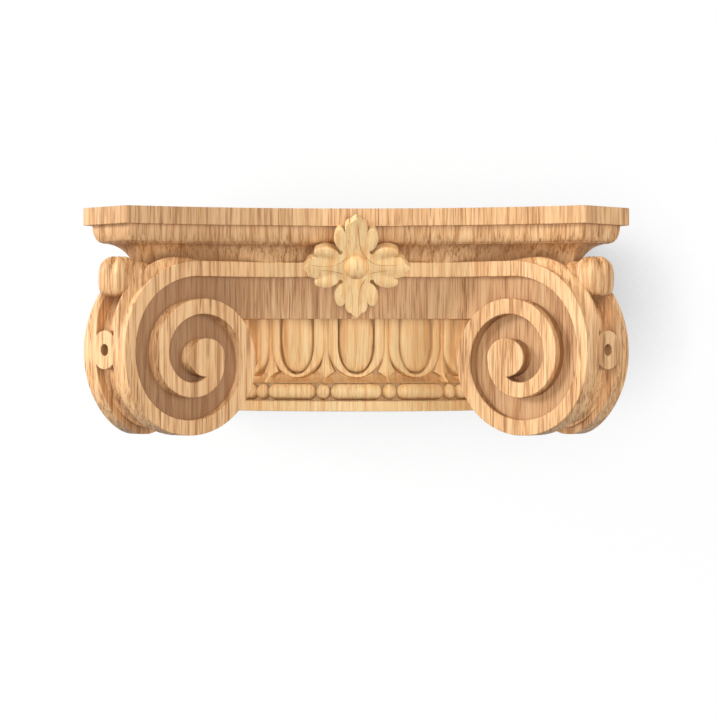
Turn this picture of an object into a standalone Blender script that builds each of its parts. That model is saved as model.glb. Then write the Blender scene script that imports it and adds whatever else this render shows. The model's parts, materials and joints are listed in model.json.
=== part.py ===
"""Ionic half capital in carved oak, with four diagonal volute faces on two corner horns.

The capital is one piece of wood. It is drawn as the front half of a square capital, cut off flat
where it meets the wall. Plan points are worked out in a quarter plan, across and forward of the
column's axis, and placed left or right, on the front or on a side, by mirroring. The carving is
laid out from the lowest point of the volutes, and the finished piece is then set with its origin
in the middle of its flat back.
"""
import math

import bmesh
import bpy
from mathutils import Matrix, Vector

MM = 0.001
ROOT_HALF = math.sqrt(0.5)

# Abacus
HALF_WIDTH = 160.0 * MM
CORNER_CUT = 28.0 * MM
ABACUS_HOLLOW = 31.9 * MM
TOP_HEIGHT = 133.4 * MM
FASCIA_HEIGHT = 10.3 * MM
FASCIA_STEP = 4.3 * MM
OVOLO_OUT = 4.5 * MM
OVOLO_HEIGHT = 9.7 * MM
QUIRK = 0.4 * MM
CAVETTO_OUT = 15.0 * MM
CAVETTO_HEIGHT = 17.0 * MM

# Line of the band and of the volute faces in plan, from the middle of the front to the corner
BAND_FORWARD = 109.1 * MM
BAND_FLAT = 45.7 * MM
EASE_RADIUS = 29.8 * MM
FACE_TURN = math.radians(29.5)
FACE_RUN = 55.3 * MM
FLARE_RADIUS = 98.2 * MM
CORNER_TURN = math.radians(48.0)

# Volutes
EYE_HEIGHT = 45.7 * MM
EYE_OUT = 154.3 * MM
EYE_RADIUS = 11.4 * MM
EYE_LIFT = 2.5 * MM
SPIRAL_TOP = 56.9 * MM
SPIRAL_DROP = 22.4 * MM
SPIRAL_SHIFT = 5.6 * MM
SPIRAL_SQUASH = 0.92
SPIRAL_END = math.radians(660.0)
BAND_WIDTH = 9.1 * MM
INNER_LIFT = 3.2 * MM
CHANNEL_DEPTH = 4.1 * MM
RIM_STRIP = 11.0 * MM
GROOVE_DEPTH = 6.6 * MM
RIDGE_HEIGHT = 7.0 * MM
RIDGE_START = math.radians(-30.0)
RIDGE_PEAK = math.radians(40.0)
RIDGE_END = math.radians(64.0)
# Points across the ridge: share of the rim's strip, share of the ridge's height
RIDGE_SECTION = ((0.3, -0.2), (0.68, 1.0), (1.0, 0.7))

# Button in the groove and bud over it
BUTTON_RADIUS = 11.4 * MM
BUTTON_HOLE = 3.4 * MM
BUTTON_HEIGHT = 50.1 * MM
BUTTON_WIDTH = 17.6 * MM
BUD_RADIUS = 11.8 * MM
BUD_OUT = 196.5 * MM
BUD_HEIGHT = 93.6 * MM
BUD_LOBES = 7
BUD_LOBE_DEPTH = 0.2
STALK_SIZE = Vector((17.0, 13.0, 8.5)) * MM
STALK_BACK = 13.0 * MM
STALK_UP = 0.5 * MM

# Frieze between the volutes
FRIEZE_BOTTOM = 68.9 * MM
BLOCK_UNDER_BAND = 0.6 * MM
BLOCK_HALF = 142.0 * MM
BLOCK_OUT = 167.0 * MM

# Neck, beads, cove and egg band, turned about the column's axis
NECK_BOTTOM = 13.5 * MM
NECK_TOP = 19.8 * MM
NECK_RADIUS = 105.6 * MM
BEAD_HEIGHT = 25.1 * MM
BEAD_RADIUS = 4.8 * MM
BEAD_GROOVE = 98.4 * MM
COVE_BOTTOM = 30.4 * MM
COVE_TOP = 36.0 * MM
COVE_RADIUS = 101.5 * MM
GROUND_RADIUS = 89.0 * MM
GROUND_THICK = 7.0 * MM
CORE_TOP = 84.0 * MM
BAND_END_ANGLE = math.radians(41.8)
EGG_COUNT = 16
EGG_RADIUS = 98.0 * MM
EGG_HALF_WIDTH = 11.6 * MM
EGG_CENTRE = 62.0 * MM
EGG_HALF_HEIGHT = 25.6 * MM
SHELL_RADIUS = 95.6 * MM
SHELL_OUTER = 17.6 * MM
SHELL_INNER = 12.4 * MM
SHELL_BOTTOM = 33.6 * MM
SHELL_LIP = 2.2 * MM
DART_RADIUS = 94.0 * MM
DART_WIDTH = 1.5 * MM
DART_BARB = 5.0 * MM
DART_BARB_HEIGHT = 41.0 * MM
DART_TIP = 31.5 * MM
PILL_LENGTH = 31.5 * MM
SMALL_BEAD = 7.8 * MM

# Rosette in the middle of the front
ROSETTE_HEIGHT = 100.3 * MM
ROSETTE_FORWARD = 121.5 * MM
ROSETTE_LEAN = math.radians(22.0)
LEAF_LENGTH = 32.3 * MM
LEAF_THICK = 6.5 * MM
LEAF_CURL = 2.6 * MM
LEAF_SWELL = 1.3 * MM
# Half of one leaf in mm, along and across it: tip, notch, side lobe, eye between two leaves
LEAF_OUTLINE = (
    (32.3, 0.0), (28.3, 3.7), (23.7, 6.3), (20.6, 6.5), (22.5, 9.0),
    (19.1, 11.9), (14.9, 11.7), (11.1, 9.5), (8.6, 8.6),
)
BOSS_RADIUS = 7.2 * MM
BOSS_RISE = 4.8 * MM
PLUG_RADIUS = 14.5 * MM
PLUG_DEPTH = 24.0 * MM

# How finely the round shapes are cut, and how far shapes run past the wall before they are cut
SPIRAL_STEP = math.radians(15.0)
ARC_STEPS = 10
SHELL_STEPS = 10
EYE_STEPS = 16
TURN_STEP = math.radians(7.5)
OVERRUN = 4.0 * MM
# Each solid ends at its own distance behind the wall, so no two ends lie in one plane
BLOCK_PAST = 2.3 * OVERRUN
FLOOR_PAST = 1.8 * OVERRUN
BAND_PAST = 1.3 * OVERRUN
WOOD_COLOUR = (0.72, 0.47, 0.25, 1.0)
WOOD_ROUGHNESS = 0.45

MOUNT_HEIGHT = (NECK_BOTTOM + TOP_HEIGHT) / 2
BLOCK_TOP = EYE_HEIGHT + SPIRAL_TOP - BLOCK_UNDER_BAND
CORE_RADIUS = GROUND_RADIUS - GROUND_THICK
SPIRAL_OUT = EYE_OUT + SPIRAL_SHIFT
EGG_PITCH = 2 * math.pi / EGG_COUNT


def ease(value):
    """Smooth step from 0 to 1."""
    value = min(1.0, max(0.0, value))
    return value * value * (3 - 2 * value)


def finish_piece(name, bm):
    """Make an object of a bmesh whose faces all point out."""
    bmesh.ops.remove_doubles(bm, verts=bm.verts, dist=0.00002)
    bmesh.ops.recalc_face_normals(bm, faces=bm.faces)
    if bm.calc_volume(signed=True) < 0:
        bmesh.ops.reverse_faces(bm, faces=bm.faces)
    mesh = bpy.data.meshes.new(name)
    bm.to_mesh(mesh)
    bm.free()
    piece = bpy.data.objects.new(name, mesh)
    bpy.context.scene.collection.objects.link(piece)
    return piece


def skin(name, rings):
    """A solid through a row of rings that have the same number of points."""
    bm = bmesh.new()
    loops = [[bm.verts.new(point) for point in ring] for ring in rings]
    count = len(loops[0])
    for first, second in zip(loops, loops[1:]):
        for i in range(count):
            j = (i + 1) % count
            bm.faces.new((first[i], first[j], second[j], second[i]))
    bm.faces.new(loops[0])
    bm.faces.new(loops[-1])
    return finish_piece(name, bm)


def prism(name, outline, low, high):
    """A solid from a plan outline between two heights."""
    rings = [[Vector((x, y, z)) for x, y in outline] for z in (low, high)]
    return skin(name, rings)


def combine(body, pieces, operation):
    """Join pieces to a body, or cut or trim it with them, and take the pieces away."""
    helpers = bpy.data.collections.new("helpers")
    bpy.context.scene.collection.children.link(helpers)
    for piece in pieces:
        bpy.context.scene.collection.objects.unlink(piece)
        helpers.objects.link(piece)
    modifier = body.modifiers.new("carve", "BOOLEAN")
    modifier.operation = operation
    modifier.solver = "MANIFOLD"
    modifier.operand_type = "COLLECTION"
    modifier.collection = helpers
    result = body.evaluated_get(bpy.context.evaluated_depsgraph_get())
    mesh = bpy.data.meshes.new_from_object(result)
    body.modifiers.remove(modifier)
    body.data = mesh
    for piece in pieces:
        bpy.data.objects.remove(piece)
    bpy.data.collections.remove(helpers)
    return body


def band_line(run, inset=0.0):
    """Plan point (across, forward) on the band's line, at a run from the middle of the front."""
    ease_run = EASE_RADIUS * FACE_TURN
    flare_run = FLARE_RADIUS * (CORNER_TURN - FACE_TURN)
    across, forward, turn = min(run, BAND_FLAT), BAND_FORWARD, 0.0
    rest = run - BAND_FLAT
    for radius, first, last, length in (
        (EASE_RADIUS, 0.0, FACE_TURN, ease_run),
        (None, FACE_TURN, FACE_TURN, FACE_RUN),
        (FLARE_RADIUS, FACE_TURN, CORNER_TURN, flare_run),
        (None, CORNER_TURN, CORNER_TURN, HALF_WIDTH),
    ):
        if rest <= 0:
            break
        part = min(rest, length)
        if radius:
            turn = first + (last - first) * part / length
            across += radius * (math.sin(turn) - math.sin(first))
            forward += radius * (math.cos(first) - math.cos(turn))
        else:
            turn = first
            across += part * math.cos(turn)
            forward += part * math.sin(turn)
        rest -= part
    return across + inset * math.sin(turn), forward - inset * math.cos(turn)


def band_at(out):
    """Plan point on the band's line at a distance out along the corner's diagonal."""
    low, high = 0.0, 2 * HALF_WIDTH
    for _ in range(40):
        middle = (low + high) / 2
        across, forward = band_line(middle)
        if (across + forward) * ROOT_HALF < out:
            low = middle
        else:
            high = middle
    return band_line(low)


def spiral(angle, inset=0.0):
    """Point (out along the diagonal, height) on the volute's spiral, from its top outwards."""
    radius = SPIRAL_TOP - SPIRAL_DROP * angle / (2 * math.pi) - inset
    return (
        SPIRAL_OUT + SPIRAL_SQUASH * radius * math.sin(angle),
        EYE_HEIGHT + radius * math.cos(angle),
    )


def placed(side, turned, across, forward, height):
    """A quarter-plan point on the left (-1) or right (1), on the front or turned to the side."""
    if turned:
        across, forward = forward, across
    return Vector((side * across, -forward, height))


def offset_point(plan, depth, lean):
    """Move a plan point back from the face: straight back at lean 0, to the diagonal at 1."""
    direction = Vector((lean * ROOT_HALF, -(1 - lean) - lean * ROOT_HALF)).normalized()
    return plan[0] + direction.x * depth, plan[1] + direction.y * depth


def make_abacus():
    """The moulded top slab, hollow on each side, with its corners cut off."""
    half_chord = HALF_WIDTH - CORNER_CUT
    curve = (half_chord ** 2 + ABACUS_HOLLOW ** 2) / (2 * ABACUS_HOLLOW)
    middle = HALF_WIDTH - ABACUS_HOLLOW
    diagonal = half_chord + HALF_WIDTH

    def edge(recess):
        radius = curve + recess
        centre = middle + curve
        line = diagonal - recess / ROOT_HALF
        # The arc and the cut corner meet where across + forward is the diagonal's value
        half = (line - centre) / 2
        across = half + math.sqrt(radius ** 2 / 2 - half ** 2)
        limit = math.asin(across / radius)

        def arc(angle):
            return radius * math.sin(angle), centre - radius * math.cos(angle)

        start = -math.asin((OVERRUN + recess / 2) / radius)
        side = [arc(start + (limit - start) * i / ARC_STEPS) for i in range(ARC_STEPS + 1)]
        front = [arc(limit * (2 * i / ARC_STEPS - 1)) for i in range(ARC_STEPS + 1)]
        ring = [(-forward, -across) for across, forward in side]
        ring += [(across, -forward) for across, forward in front]
        ring += [(forward, -across) for across, forward in reversed(side)]
        return ring

    fascia_bottom = TOP_HEIGHT - FASCIA_HEIGHT
    profile = [(0.0, TOP_HEIGHT), (0.0, fascia_bottom), (FASCIA_STEP, fascia_bottom)]
    for i in range(4):
        angle = math.pi / 2 * i / 3
        profile.append((
            FASCIA_STEP + OVOLO_OUT * (1 - math.cos(angle)),
            fascia_bottom - QUIRK - OVOLO_HEIGHT * math.sin(angle),
        ))
    recess, height = profile[-1]
    recess += QUIRK
    height -= QUIRK
    for i in range(6):
        angle = math.pi / 2 * i / 5
        profile.append((
            recess + CAVETTO_OUT * math.sin(angle),
            height - CAVETTO_HEIGHT * (1 - math.cos(angle)),
        ))
    rings = [[Vector((x, y, z)) for x, y in edge(d)] for d, z in profile]
    return skin("abacus", rings)


def make_floor_limit():
    """The plan of the channel's floor, on the front and sides and across the corners."""
    runs = [BAND_FLAT]
    runs += [BAND_FLAT + EASE_RADIUS * FACE_TURN * i / 4 for i in range(1, 5)]
    straight_end = runs[-1] + FACE_RUN
    flare_run = FLARE_RADIUS * (CORNER_TURN - FACE_TURN)
    runs += [straight_end + flare_run * i / 4 for i in range(5)]
    runs.append(runs[-1] + CORNER_CUT)
    points = [band_line(run, CHANNEL_DEPTH) for run in runs]
    left_side = [(-BAND_FORWARD + CHANNEL_DEPTH, FLOOR_PAST)]
    left_side += [(-forward, -across) for across, forward in points]
    left_front = [(-across, -forward) for across, forward in reversed(points)]
    right = [(-x, y) for x, y in reversed(left_side + left_front)]
    return prism("floor limit", left_side + left_front + right, -OVERRUN, TOP_HEIGHT)


def make_horn(side):
    """The body of one corner's volutes, inside the rims, along the line across the diagonal."""
    count = round(2 * math.pi / SPIRAL_STEP)
    outline = [spiral(i * SPIRAL_STEP, GROOVE_DEPTH) for i in range(count + 1)]
    rings = []
    for depth in (-HALF_WIDTH / 3, HALF_WIDTH / 3):
        ring = []
        for out, height in outline:
            across = (out - depth) * ROOT_HALF
            forward = (out + depth) * ROOT_HALF
            ring.append(placed(side, False, across, forward, height))
        rings.append(ring)
    return skin("horn", rings)


def make_block():
    """The block behind the frieze and between the horns."""
    corner = BLOCK_OUT / ROOT_HALF - BLOCK_HALF
    half = [(corner, -BLOCK_HALF), (BLOCK_HALF, -corner), (BLOCK_HALF, BLOCK_PAST)]
    outline = half + [(-x, y) for x, y in reversed(half)]
    return prism("block", outline, FRIEZE_BOTTOM, BLOCK_TOP)


def ridge_at(angle):
    """How high the rim's ridge stands behind the band, rising over the volute to the bud."""
    rise = ease((angle - RIDGE_START) / (RIDGE_PEAK - RIDGE_START))
    return RIDGE_HEIGHT * rise * (1 - ease((angle - RIDGE_PEAK) / (RIDGE_END - RIDGE_PEAK)))


def band_section(out, height_outer, inner, lift, lean, ridge, turned_down):
    """Six points round the band where it crosses one station of its run."""
    plan = band_at(out)
    inner_plan = band_at(inner[0])
    up = Vector(turned_down)
    points = []
    section = [(-lift, 0.0)]
    section += [(RIM_STRIP * strip, ridge * share) for strip, share in RIDGE_SECTION]
    for depth, rise in section:
        raised = band_at(out + up.x * rise) if rise and up.x else plan
        across, forward = offset_point(raised, depth, lean)
        points.append((across, forward, height_outer + up.y * rise))
    for depth in (RIM_STRIP, -lift):
        across, forward = offset_point(inner_plan, depth, lean)
        points.append((across, forward, inner[1]))
    return points


def band_stations():
    """Sections of the band from the eye, round the spiral and along to the middle."""
    stations = []
    count = round(SPIRAL_END / SPIRAL_STEP)
    for i in range(count, -1, -1):
        angle = i * SPIRAL_STEP
        out, height = spiral(angle)
        inner = spiral(angle, BAND_WIDTH)
        lift = INNER_LIFT * ease((angle - math.pi) / math.pi)
        normal = (math.sin(angle), math.cos(angle))
        stations.append(band_section(out, height, inner, lift, 1.0, ridge_at(angle), normal))
    start = band_at(SPIRAL_OUT)[0]
    for i in range(1, 11):
        share = 1 - i / 10
        across = start * share
        # The straight run is followed by its distance across from the middle
        run = across
        for _ in range(20):
            run += across - band_line(run)[0]
        plan = band_line(run)
        out = (plan[0] + plan[1]) * ROOT_HALF
        angle = (across - start) / SPIRAL_TOP
        top = EYE_HEIGHT + SPIRAL_TOP
        stations.append(band_section(
            out, top, (out, top - BAND_WIDTH), 0.0, share, ridge_at(angle), (0.0, 1.0)))
    return stations


def make_front_band():
    """The raised band of the front, from one eye to the other in one piece."""
    half = band_stations()
    left = [[placed(-1, False, *point) for point in ring] for ring in half]
    right = [[placed(1, False, *point) for point in ring] for ring in reversed(half[:-1])]
    return skin("front band", left + right)


def make_side_band(side):
    """The raised band of one side, from its eye to past the wall."""
    half = band_stations()
    rings = [[placed(side, True, *point) for point in ring] for ring in half]
    rings.append([point + Vector((0.0, BAND_PAST, 0.0)) for point in rings[-1]])
    return skin("side band", rings)


def make_eye(side, turned):
    """The round eye at the middle of a volute."""
    rings = []
    for depth in (RIM_STRIP, -EYE_LIFT):
        ring = []
        for i in range(EYE_STEPS):
            angle = 2 * math.pi * i / EYE_STEPS
            out = EYE_OUT + EYE_RADIUS * math.sin(angle)
            across, forward = offset_point(band_at(out), depth, 1.0)
            height = EYE_HEIGHT + EYE_RADIUS * math.cos(angle)
            ring.append(placed(side, turned, across, forward, height))
        rings.append(ring)
    return skin("eye", rings)


def corner_frame(side, out, height):
    """Axes at a corner: x out along the diagonal, y across it, z up."""
    outward = Vector((side * ROOT_HALF, -ROOT_HALF, 0.0))
    across = Vector((-side * ROOT_HALF, -ROOT_HALF, 0.0))
    matrix = Matrix((outward, across, Vector((0, 0, 1)))).transposed().to_4x4()
    matrix.translation = outward * out + Vector((0, 0, height))
    return matrix


def make_button(side):
    """The drilled disc that fills the groove at the height of the eye."""
    rim = SPIRAL_OUT + SPIRAL_SQUASH * (SPIRAL_TOP - SPIRAL_DROP / 4)
    frame = corner_frame(side, rim, BUTTON_HEIGHT)
    count = EYE_STEPS
    rings = []
    for depth, radius in (
        (-2 * GROOVE_DEPTH, BUTTON_RADIUS), (0.0, BUTTON_RADIUS),
        (0.0, BUTTON_HOLE), (-GROOVE_DEPTH / 2, BUTTON_HOLE),
    ):
        ring = []
        for i in range(count):
            angle = 2 * math.pi * i / count
            across = radius * math.cos(angle)
            across = max(-BUTTON_WIDTH / 2, min(BUTTON_WIDTH / 2, across))
            ring.append(frame @ Vector((depth, across, radius * math.sin(angle))))
        rings.append(ring)
    return skin("button", rings)


def make_bud(side):
    """The bud under the abacus corner, lobed above and smooth below."""
    frame = corner_frame(side, BUD_OUT, BUD_HEIGHT)
    bm = bmesh.new()
    bmesh.ops.create_uvsphere(bm, u_segments=3 * BUD_LOBES, v_segments=7, radius=BUD_RADIUS)
    for vert in bm.verts:
        turn = math.atan2(vert.co.y, vert.co.x)
        upper = ease(0.5 + vert.co.z / BUD_RADIUS)
        lobe = 1 - BUD_LOBE_DEPTH * upper * (0.5 - 0.5 * math.cos(BUD_LOBES * turn))
        vert.co.x *= lobe
        vert.co.y *= lobe
    bmesh.ops.transform(bm, matrix=frame, verts=bm.verts)
    return finish_piece("bud", bm)


def make_stalk(side):
    """The thick stalk that carries the bud out of the top of the horn."""
    frame = corner_frame(side, BUD_OUT - STALK_BACK, BUD_HEIGHT + STALK_UP)
    bm = bmesh.new()
    bmesh.ops.create_uvsphere(bm, u_segments=12, v_segments=6, radius=1.0)
    bmesh.ops.scale(bm, vec=STALK_SIZE, verts=bm.verts)
    bmesh.ops.transform(bm, matrix=frame, verts=bm.verts)
    return finish_piece("stalk", bm)


def turned_solid(name, profile, first, last):
    """A closed profile (radius, height) turned about the axis between two angles."""
    steps = max(2, math.ceil((last - first) / TURN_STEP))
    rings = []
    for i in range(steps + 1):
        angle = first + (last - first) * i / steps
        rings.append([
            Vector((radius * math.sin(angle), -radius * math.cos(angle), height))
            for radius, height in profile
        ])
    return skin(name, rings)


def make_neck():
    """The half-round neck, the groove for the beads, the cove and the plain core over them."""
    profile = (
        (NECK_RADIUS, NECK_BOTTOM),
        (NECK_RADIUS, NECK_TOP),
        (BEAD_GROOVE, BEAD_HEIGHT - BEAD_RADIUS),
        (BEAD_GROOVE, BEAD_HEIGHT + BEAD_RADIUS),
        (COVE_RADIUS, COVE_BOTTOM),
        ((COVE_RADIUS + 2 * GROUND_RADIUS) / 3, (COVE_BOTTOM + COVE_TOP) / 2),
        (GROUND_RADIUS - 1 * MM, COVE_TOP),
        (CORE_RADIUS, COVE_TOP),
        (CORE_RADIUS, CORE_TOP),
    )
    past = math.pi / 2 + OVERRUN / NECK_RADIUS
    steps = math.ceil(2 * past / TURN_STEP)
    rings = []
    for radius, height in profile:
        angles = [past * (2 * i / steps - 1) for i in range(steps + 1)]
        rings.append([Vector((radius * math.sin(a), -radius * math.cos(a), height)) for a in angles])
    return skin("neck", rings)


def make_egg_grounds():
    """The wall behind the eggs, on the front and on each side of the horns."""
    past = math.pi / 2 + OVERRUN / NECK_RADIUS
    inner = CORE_RADIUS - OVERRUN
    top = FRIEZE_BOTTOM + OVERRUN
    profile = [
        (inner, COVE_TOP - 1 * MM), (GROUND_RADIUS, COVE_TOP - 1 * MM),
        (GROUND_RADIUS, top), (inner, top),
    ]
    side_start = math.pi / 2 - BAND_END_ANGLE
    spans = ((-BAND_END_ANGLE, BAND_END_ANGLE), (side_start, past), (-past, -side_start))
    return [turned_solid("egg ground", profile, first, last) for first, last in spans]


def on_drum(centre, width, radius, height):
    """A point on the drum, at a width along the wall from a centre angle."""
    angle = centre + width / EGG_RADIUS
    return Vector((radius * math.sin(angle), -radius * math.cos(angle), height))


def make_egg(centre):
    """One egg, cut off above by the frieze."""
    bm = bmesh.new()
    bmesh.ops.create_uvsphere(bm, u_segments=10, v_segments=7, radius=1.0)
    for vert in bm.verts:
        x, y, z = vert.co
        height = EGG_CENTRE + EGG_HALF_HEIGHT * z
        bulge = GROUND_RADIUS + (EGG_RADIUS - GROUND_RADIUS) * -y
        vert.co = on_drum(centre, EGG_HALF_WIDTH * x, bulge, height)
    return finish_piece("egg", bm)


def shell_outline(share, half_width, bottom):
    """Width and height on the shell's U, for a share from -1 to 1 round it."""
    top = FRIEZE_BOTTOM + OVERRUN / 2
    shoulder = EGG_CENTRE - 0.35 * EGG_HALF_HEIGHT
    if abs(share) > 0.6:
        return math.copysign(half_width, share), shoulder + (top - shoulder) * (abs(share) - 0.6) / 0.4
    angle = share / 0.6 * math.pi / 2
    return half_width * math.sin(angle), shoulder - (shoulder - bottom) * math.cos(angle)


def make_shell(centre):
    """The raised rim round one egg."""
    rings = []
    for i in range(SHELL_STEPS + 1):
        share = 2 * i / SHELL_STEPS - 1
        outer = shell_outline(share, SHELL_OUTER, SHELL_BOTTOM)
        inner = shell_outline(share, SHELL_INNER, SHELL_BOTTOM + SHELL_LIP)
        inside = CORE_RADIUS + 2 * MM
        middle = ((outer[0] + inner[0]) / 2, (outer[1] + inner[1]) / 2)
        rings.append([
            on_drum(centre, outer[0], inside, outer[1]),
            on_drum(centre, outer[0], SHELL_RADIUS - 2 * MM, outer[1]),
            on_drum(centre, middle[0], SHELL_RADIUS, middle[1]),
            on_drum(centre, inner[0], SHELL_RADIUS - 1 * MM, inner[1]),
            on_drum(centre, inner[0], inside, inner[1]),
        ])
    return skin("shell", rings)


def make_dart(centre):
    """The ridged dart between two eggs, with its barbed point down."""
    top = FRIEZE_BOTTOM + OVERRUN / 2
    barb_top = DART_BARB_HEIGHT + DART_BARB
    rings = []
    for height, half, radius in (
        (top, DART_WIDTH, DART_RADIUS), (barb_top, DART_WIDTH, DART_RADIUS),
        (DART_BARB_HEIGHT, DART_BARB, DART_RADIUS), (DART_TIP, 0.2 * MM, DART_RADIUS + 4 * MM),
    ):
        inside = CORE_RADIUS + 1 * MM
        rings.append([
            on_drum(centre, -half, inside, height),
            on_drum(centre, -half, radius - 2 * MM, height),
            on_drum(centre, 0.0, radius, height),
            on_drum(centre, half, radius - 2 * MM, height),
            on_drum(centre, half, inside, height),
        ])
    return skin("dart", rings)


def make_bead(centre, length):
    """A bead with round ends along the groove, from a ball to a long pill."""
    axis_radius = NECK_RADIUS - BEAD_RADIUS
    straight = max(0.0, length / 2 - BEAD_RADIUS)
    half_ball = min(BEAD_RADIUS, length / 2)
    profile = [(-length / 2, 0.6 * MM)]
    for i in range(1, 3):
        angle = math.pi / 2 * i / 2
        profile.append((-straight - half_ball * math.cos(angle), BEAD_RADIUS * math.sin(angle)))
    profile += [(-x, r) for x, r in reversed(profile[:-1] if straight == 0 else profile)]
    rings = []
    for along, radius in profile:
        ring = []
        for i in range(8):
            angle = 2 * math.pi * i / 8
            turn = centre + along / NECK_RADIUS
            reach = axis_radius + radius * math.cos(angle)
            ring.append(Vector((
                reach * math.sin(turn), -reach * math.cos(turn),
                BEAD_HEIGHT + radius * math.sin(angle),
            )))
        rings.append(ring)
    return skin("bead", rings)


def rosette_frame():
    """The rosette's own axes: x to the right, y up its leaning face, z out of it."""
    frame = Matrix.Translation((0.0, -ROSETTE_FORWARD, ROSETTE_HEIGHT))
    return frame @ Matrix.Rotation(math.pi / 2 + ROSETTE_LEAN, 4, "X")


def rosette_outline():
    """The outline of the four leaves in the rosette's plane."""
    half = [Vector((across, along)) * MM for along, across in LEAF_OUTLINE]
    ring = []
    for quarter in range(4):
        # From one leaf's tip to the eye on its right, and on to the next leaf's tip
        turn = Matrix.Rotation(-math.pi / 2 * quarter, 2)
        ring += [turn @ point for point in half[:-1]]
        turn = Matrix.Rotation(-math.pi / 2 * (quarter + 1), 2)
        ring += [turn @ Vector((-point.x, point.y)) for point in reversed(half[1:])]
    return ring


def make_rosette():
    """The four leaves of the rosette."""
    frame = rosette_frame()
    outline = rosette_outline()
    rings = []
    for share, level in ((1.0, -LEAF_THICK), (1.0, 0.0), (0.7, LEAF_SWELL), (0.2, 0.0)):
        ring = []
        for point in outline:
            radius = point.length * share
            rise = level + LEAF_CURL * (radius / LEAF_LENGTH) ** 3
            ring.append(frame @ (point * share).to_3d() + frame.to_3x3() @ Vector((0, 0, rise)))
        rings.append(ring)
    return skin("rosette", rings)


def disc_stack(name, frame, sizes, count):
    """A solid through circles of given radius and level in a frame."""
    rings = []
    for radius, level in sizes:
        ring = []
        for i in range(count):
            angle = 2 * math.pi * i / count
            ring.append(frame @ Vector((radius * math.sin(angle), radius * math.cos(angle), level)))
        rings.append(ring)
    return skin(name, rings)


def make_boss():
    """The round boss in the middle of the rosette."""
    sizes = [(BOSS_RADIUS, -LEAF_THICK / 2)]
    for i in range(4):
        angle = math.radians(80.0) * i / 3
        sizes.append((BOSS_RADIUS * math.cos(angle), BOSS_RISE * math.sin(angle)))
    return disc_stack("boss", rosette_frame(), sizes, 16)


def make_rosette_plug():
    """The wood left behind the rosette, which joins it to the abacus and the frieze."""
    sizes = [(PLUG_RADIUS, -PLUG_DEPTH), (PLUG_RADIUS * 0.8, -LEAF_THICK / 2)]
    return disc_stack("rosette plug", rosette_frame(), sizes, 16)


def make_egg_band():
    """Eggs, shells, darts and beads round the front and on both sides."""
    pieces = make_egg_grounds()
    for i in range(-EGG_COUNT // 4, EGG_COUNT // 4 + 1):
        centre = i * EGG_PITCH
        corner = abs(abs(centre) - math.pi / 4) < EGG_PITCH / 4
        pieces.append(make_bead(centre, PILL_LENGTH))
        if corner:
            continue
        pieces.append(make_egg(centre))
        pieces.append(make_shell(centre))
    for i in range(-EGG_COUNT // 4, EGG_COUNT // 4):
        centre = (i + 0.5) * EGG_PITCH
        pieces.append(make_dart(centre))
        pieces.append(make_bead(centre, SMALL_BEAD))
    return pieces


def make_wall_cutter():
    """Everything behind the wall's face."""
    far = 2 * HALF_WIDTH
    outline = [(-far, 0.0), (far, 0.0), (far, far), (-far, far)]
    return prism("wall", outline, -far, far)


def oak():
    """Plain light oak."""
    material = bpy.data.materials.new("oak")
    material.use_nodes = True
    shader = material.node_tree.nodes["Principled BSDF"]
    shader.inputs["Base Color"].default_value = WOOD_COLOUR
    shader.inputs["Roughness"].default_value = WOOD_ROUGHNESS
    shader.inputs["Metallic"].default_value = 0.0
    return material


def make_capital():
    """The whole capital as one closed solid."""
    body = make_block()
    body.name = "capital"
    combine(body, [make_horn(-1), make_horn(1)], "UNION")
    combine(body, [make_floor_limit()], "INTERSECT")
    pieces = [make_abacus(), make_neck(), make_front_band()]
    for side in (-1, 1):
        pieces.append(make_side_band(side))
        pieces += [make_eye(side, False), make_eye(side, True)]
        pieces += [make_button(side), make_stalk(side), make_bud(side)]
    pieces += [make_rosette_plug(), make_rosette(), make_boss()]
    combine(body, pieces, "UNION")
    combine(body, make_egg_band(), "UNION")
    combine(body, [make_wall_cutter()], "DIFFERENCE")
    bm = bmesh.new()
    bm.from_mesh(body.data)
    bmesh.ops.remove_doubles(bm, verts=bm.verts, dist=0.00001)
    bmesh.ops.translate(bm, vec=(0.0, 0.0, -MOUNT_HEIGHT), verts=bm.verts)
    bmesh.ops.triangulate(bm, faces=bm.faces)
    bm.to_mesh(body.data)
    bm.free()
    body.data.materials.clear()
    body.data.materials.append(oak())
    return body


for old in list(bpy.data.objects):
    bpy.data.objects.remove(old, do_unlink=True)
capital = make_capital()
print("capital triangles", len(capital.data.polygons))
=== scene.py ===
"""Carved light-oak Ionic half capital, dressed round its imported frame.

The capital is one block of wood. Each operator carves one group of its parts, and the last of
them unites the carving, cuts it flat at the wall and gives it its oak. Plan points are worked out
in a quarter plan, across and forward of the column's axis, and placed left or right, on the front
or on a side. The carving is laid out from the lowest point of the volutes, and the finished piece
is set with its origin in the middle of its flat back.
"""
import json
import math

import bmesh
import bpy
import numpy as np
from bpy.props import FloatProperty, FloatVectorProperty, IntProperty, PointerProperty
from mathutils import Matrix, Vector

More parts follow.
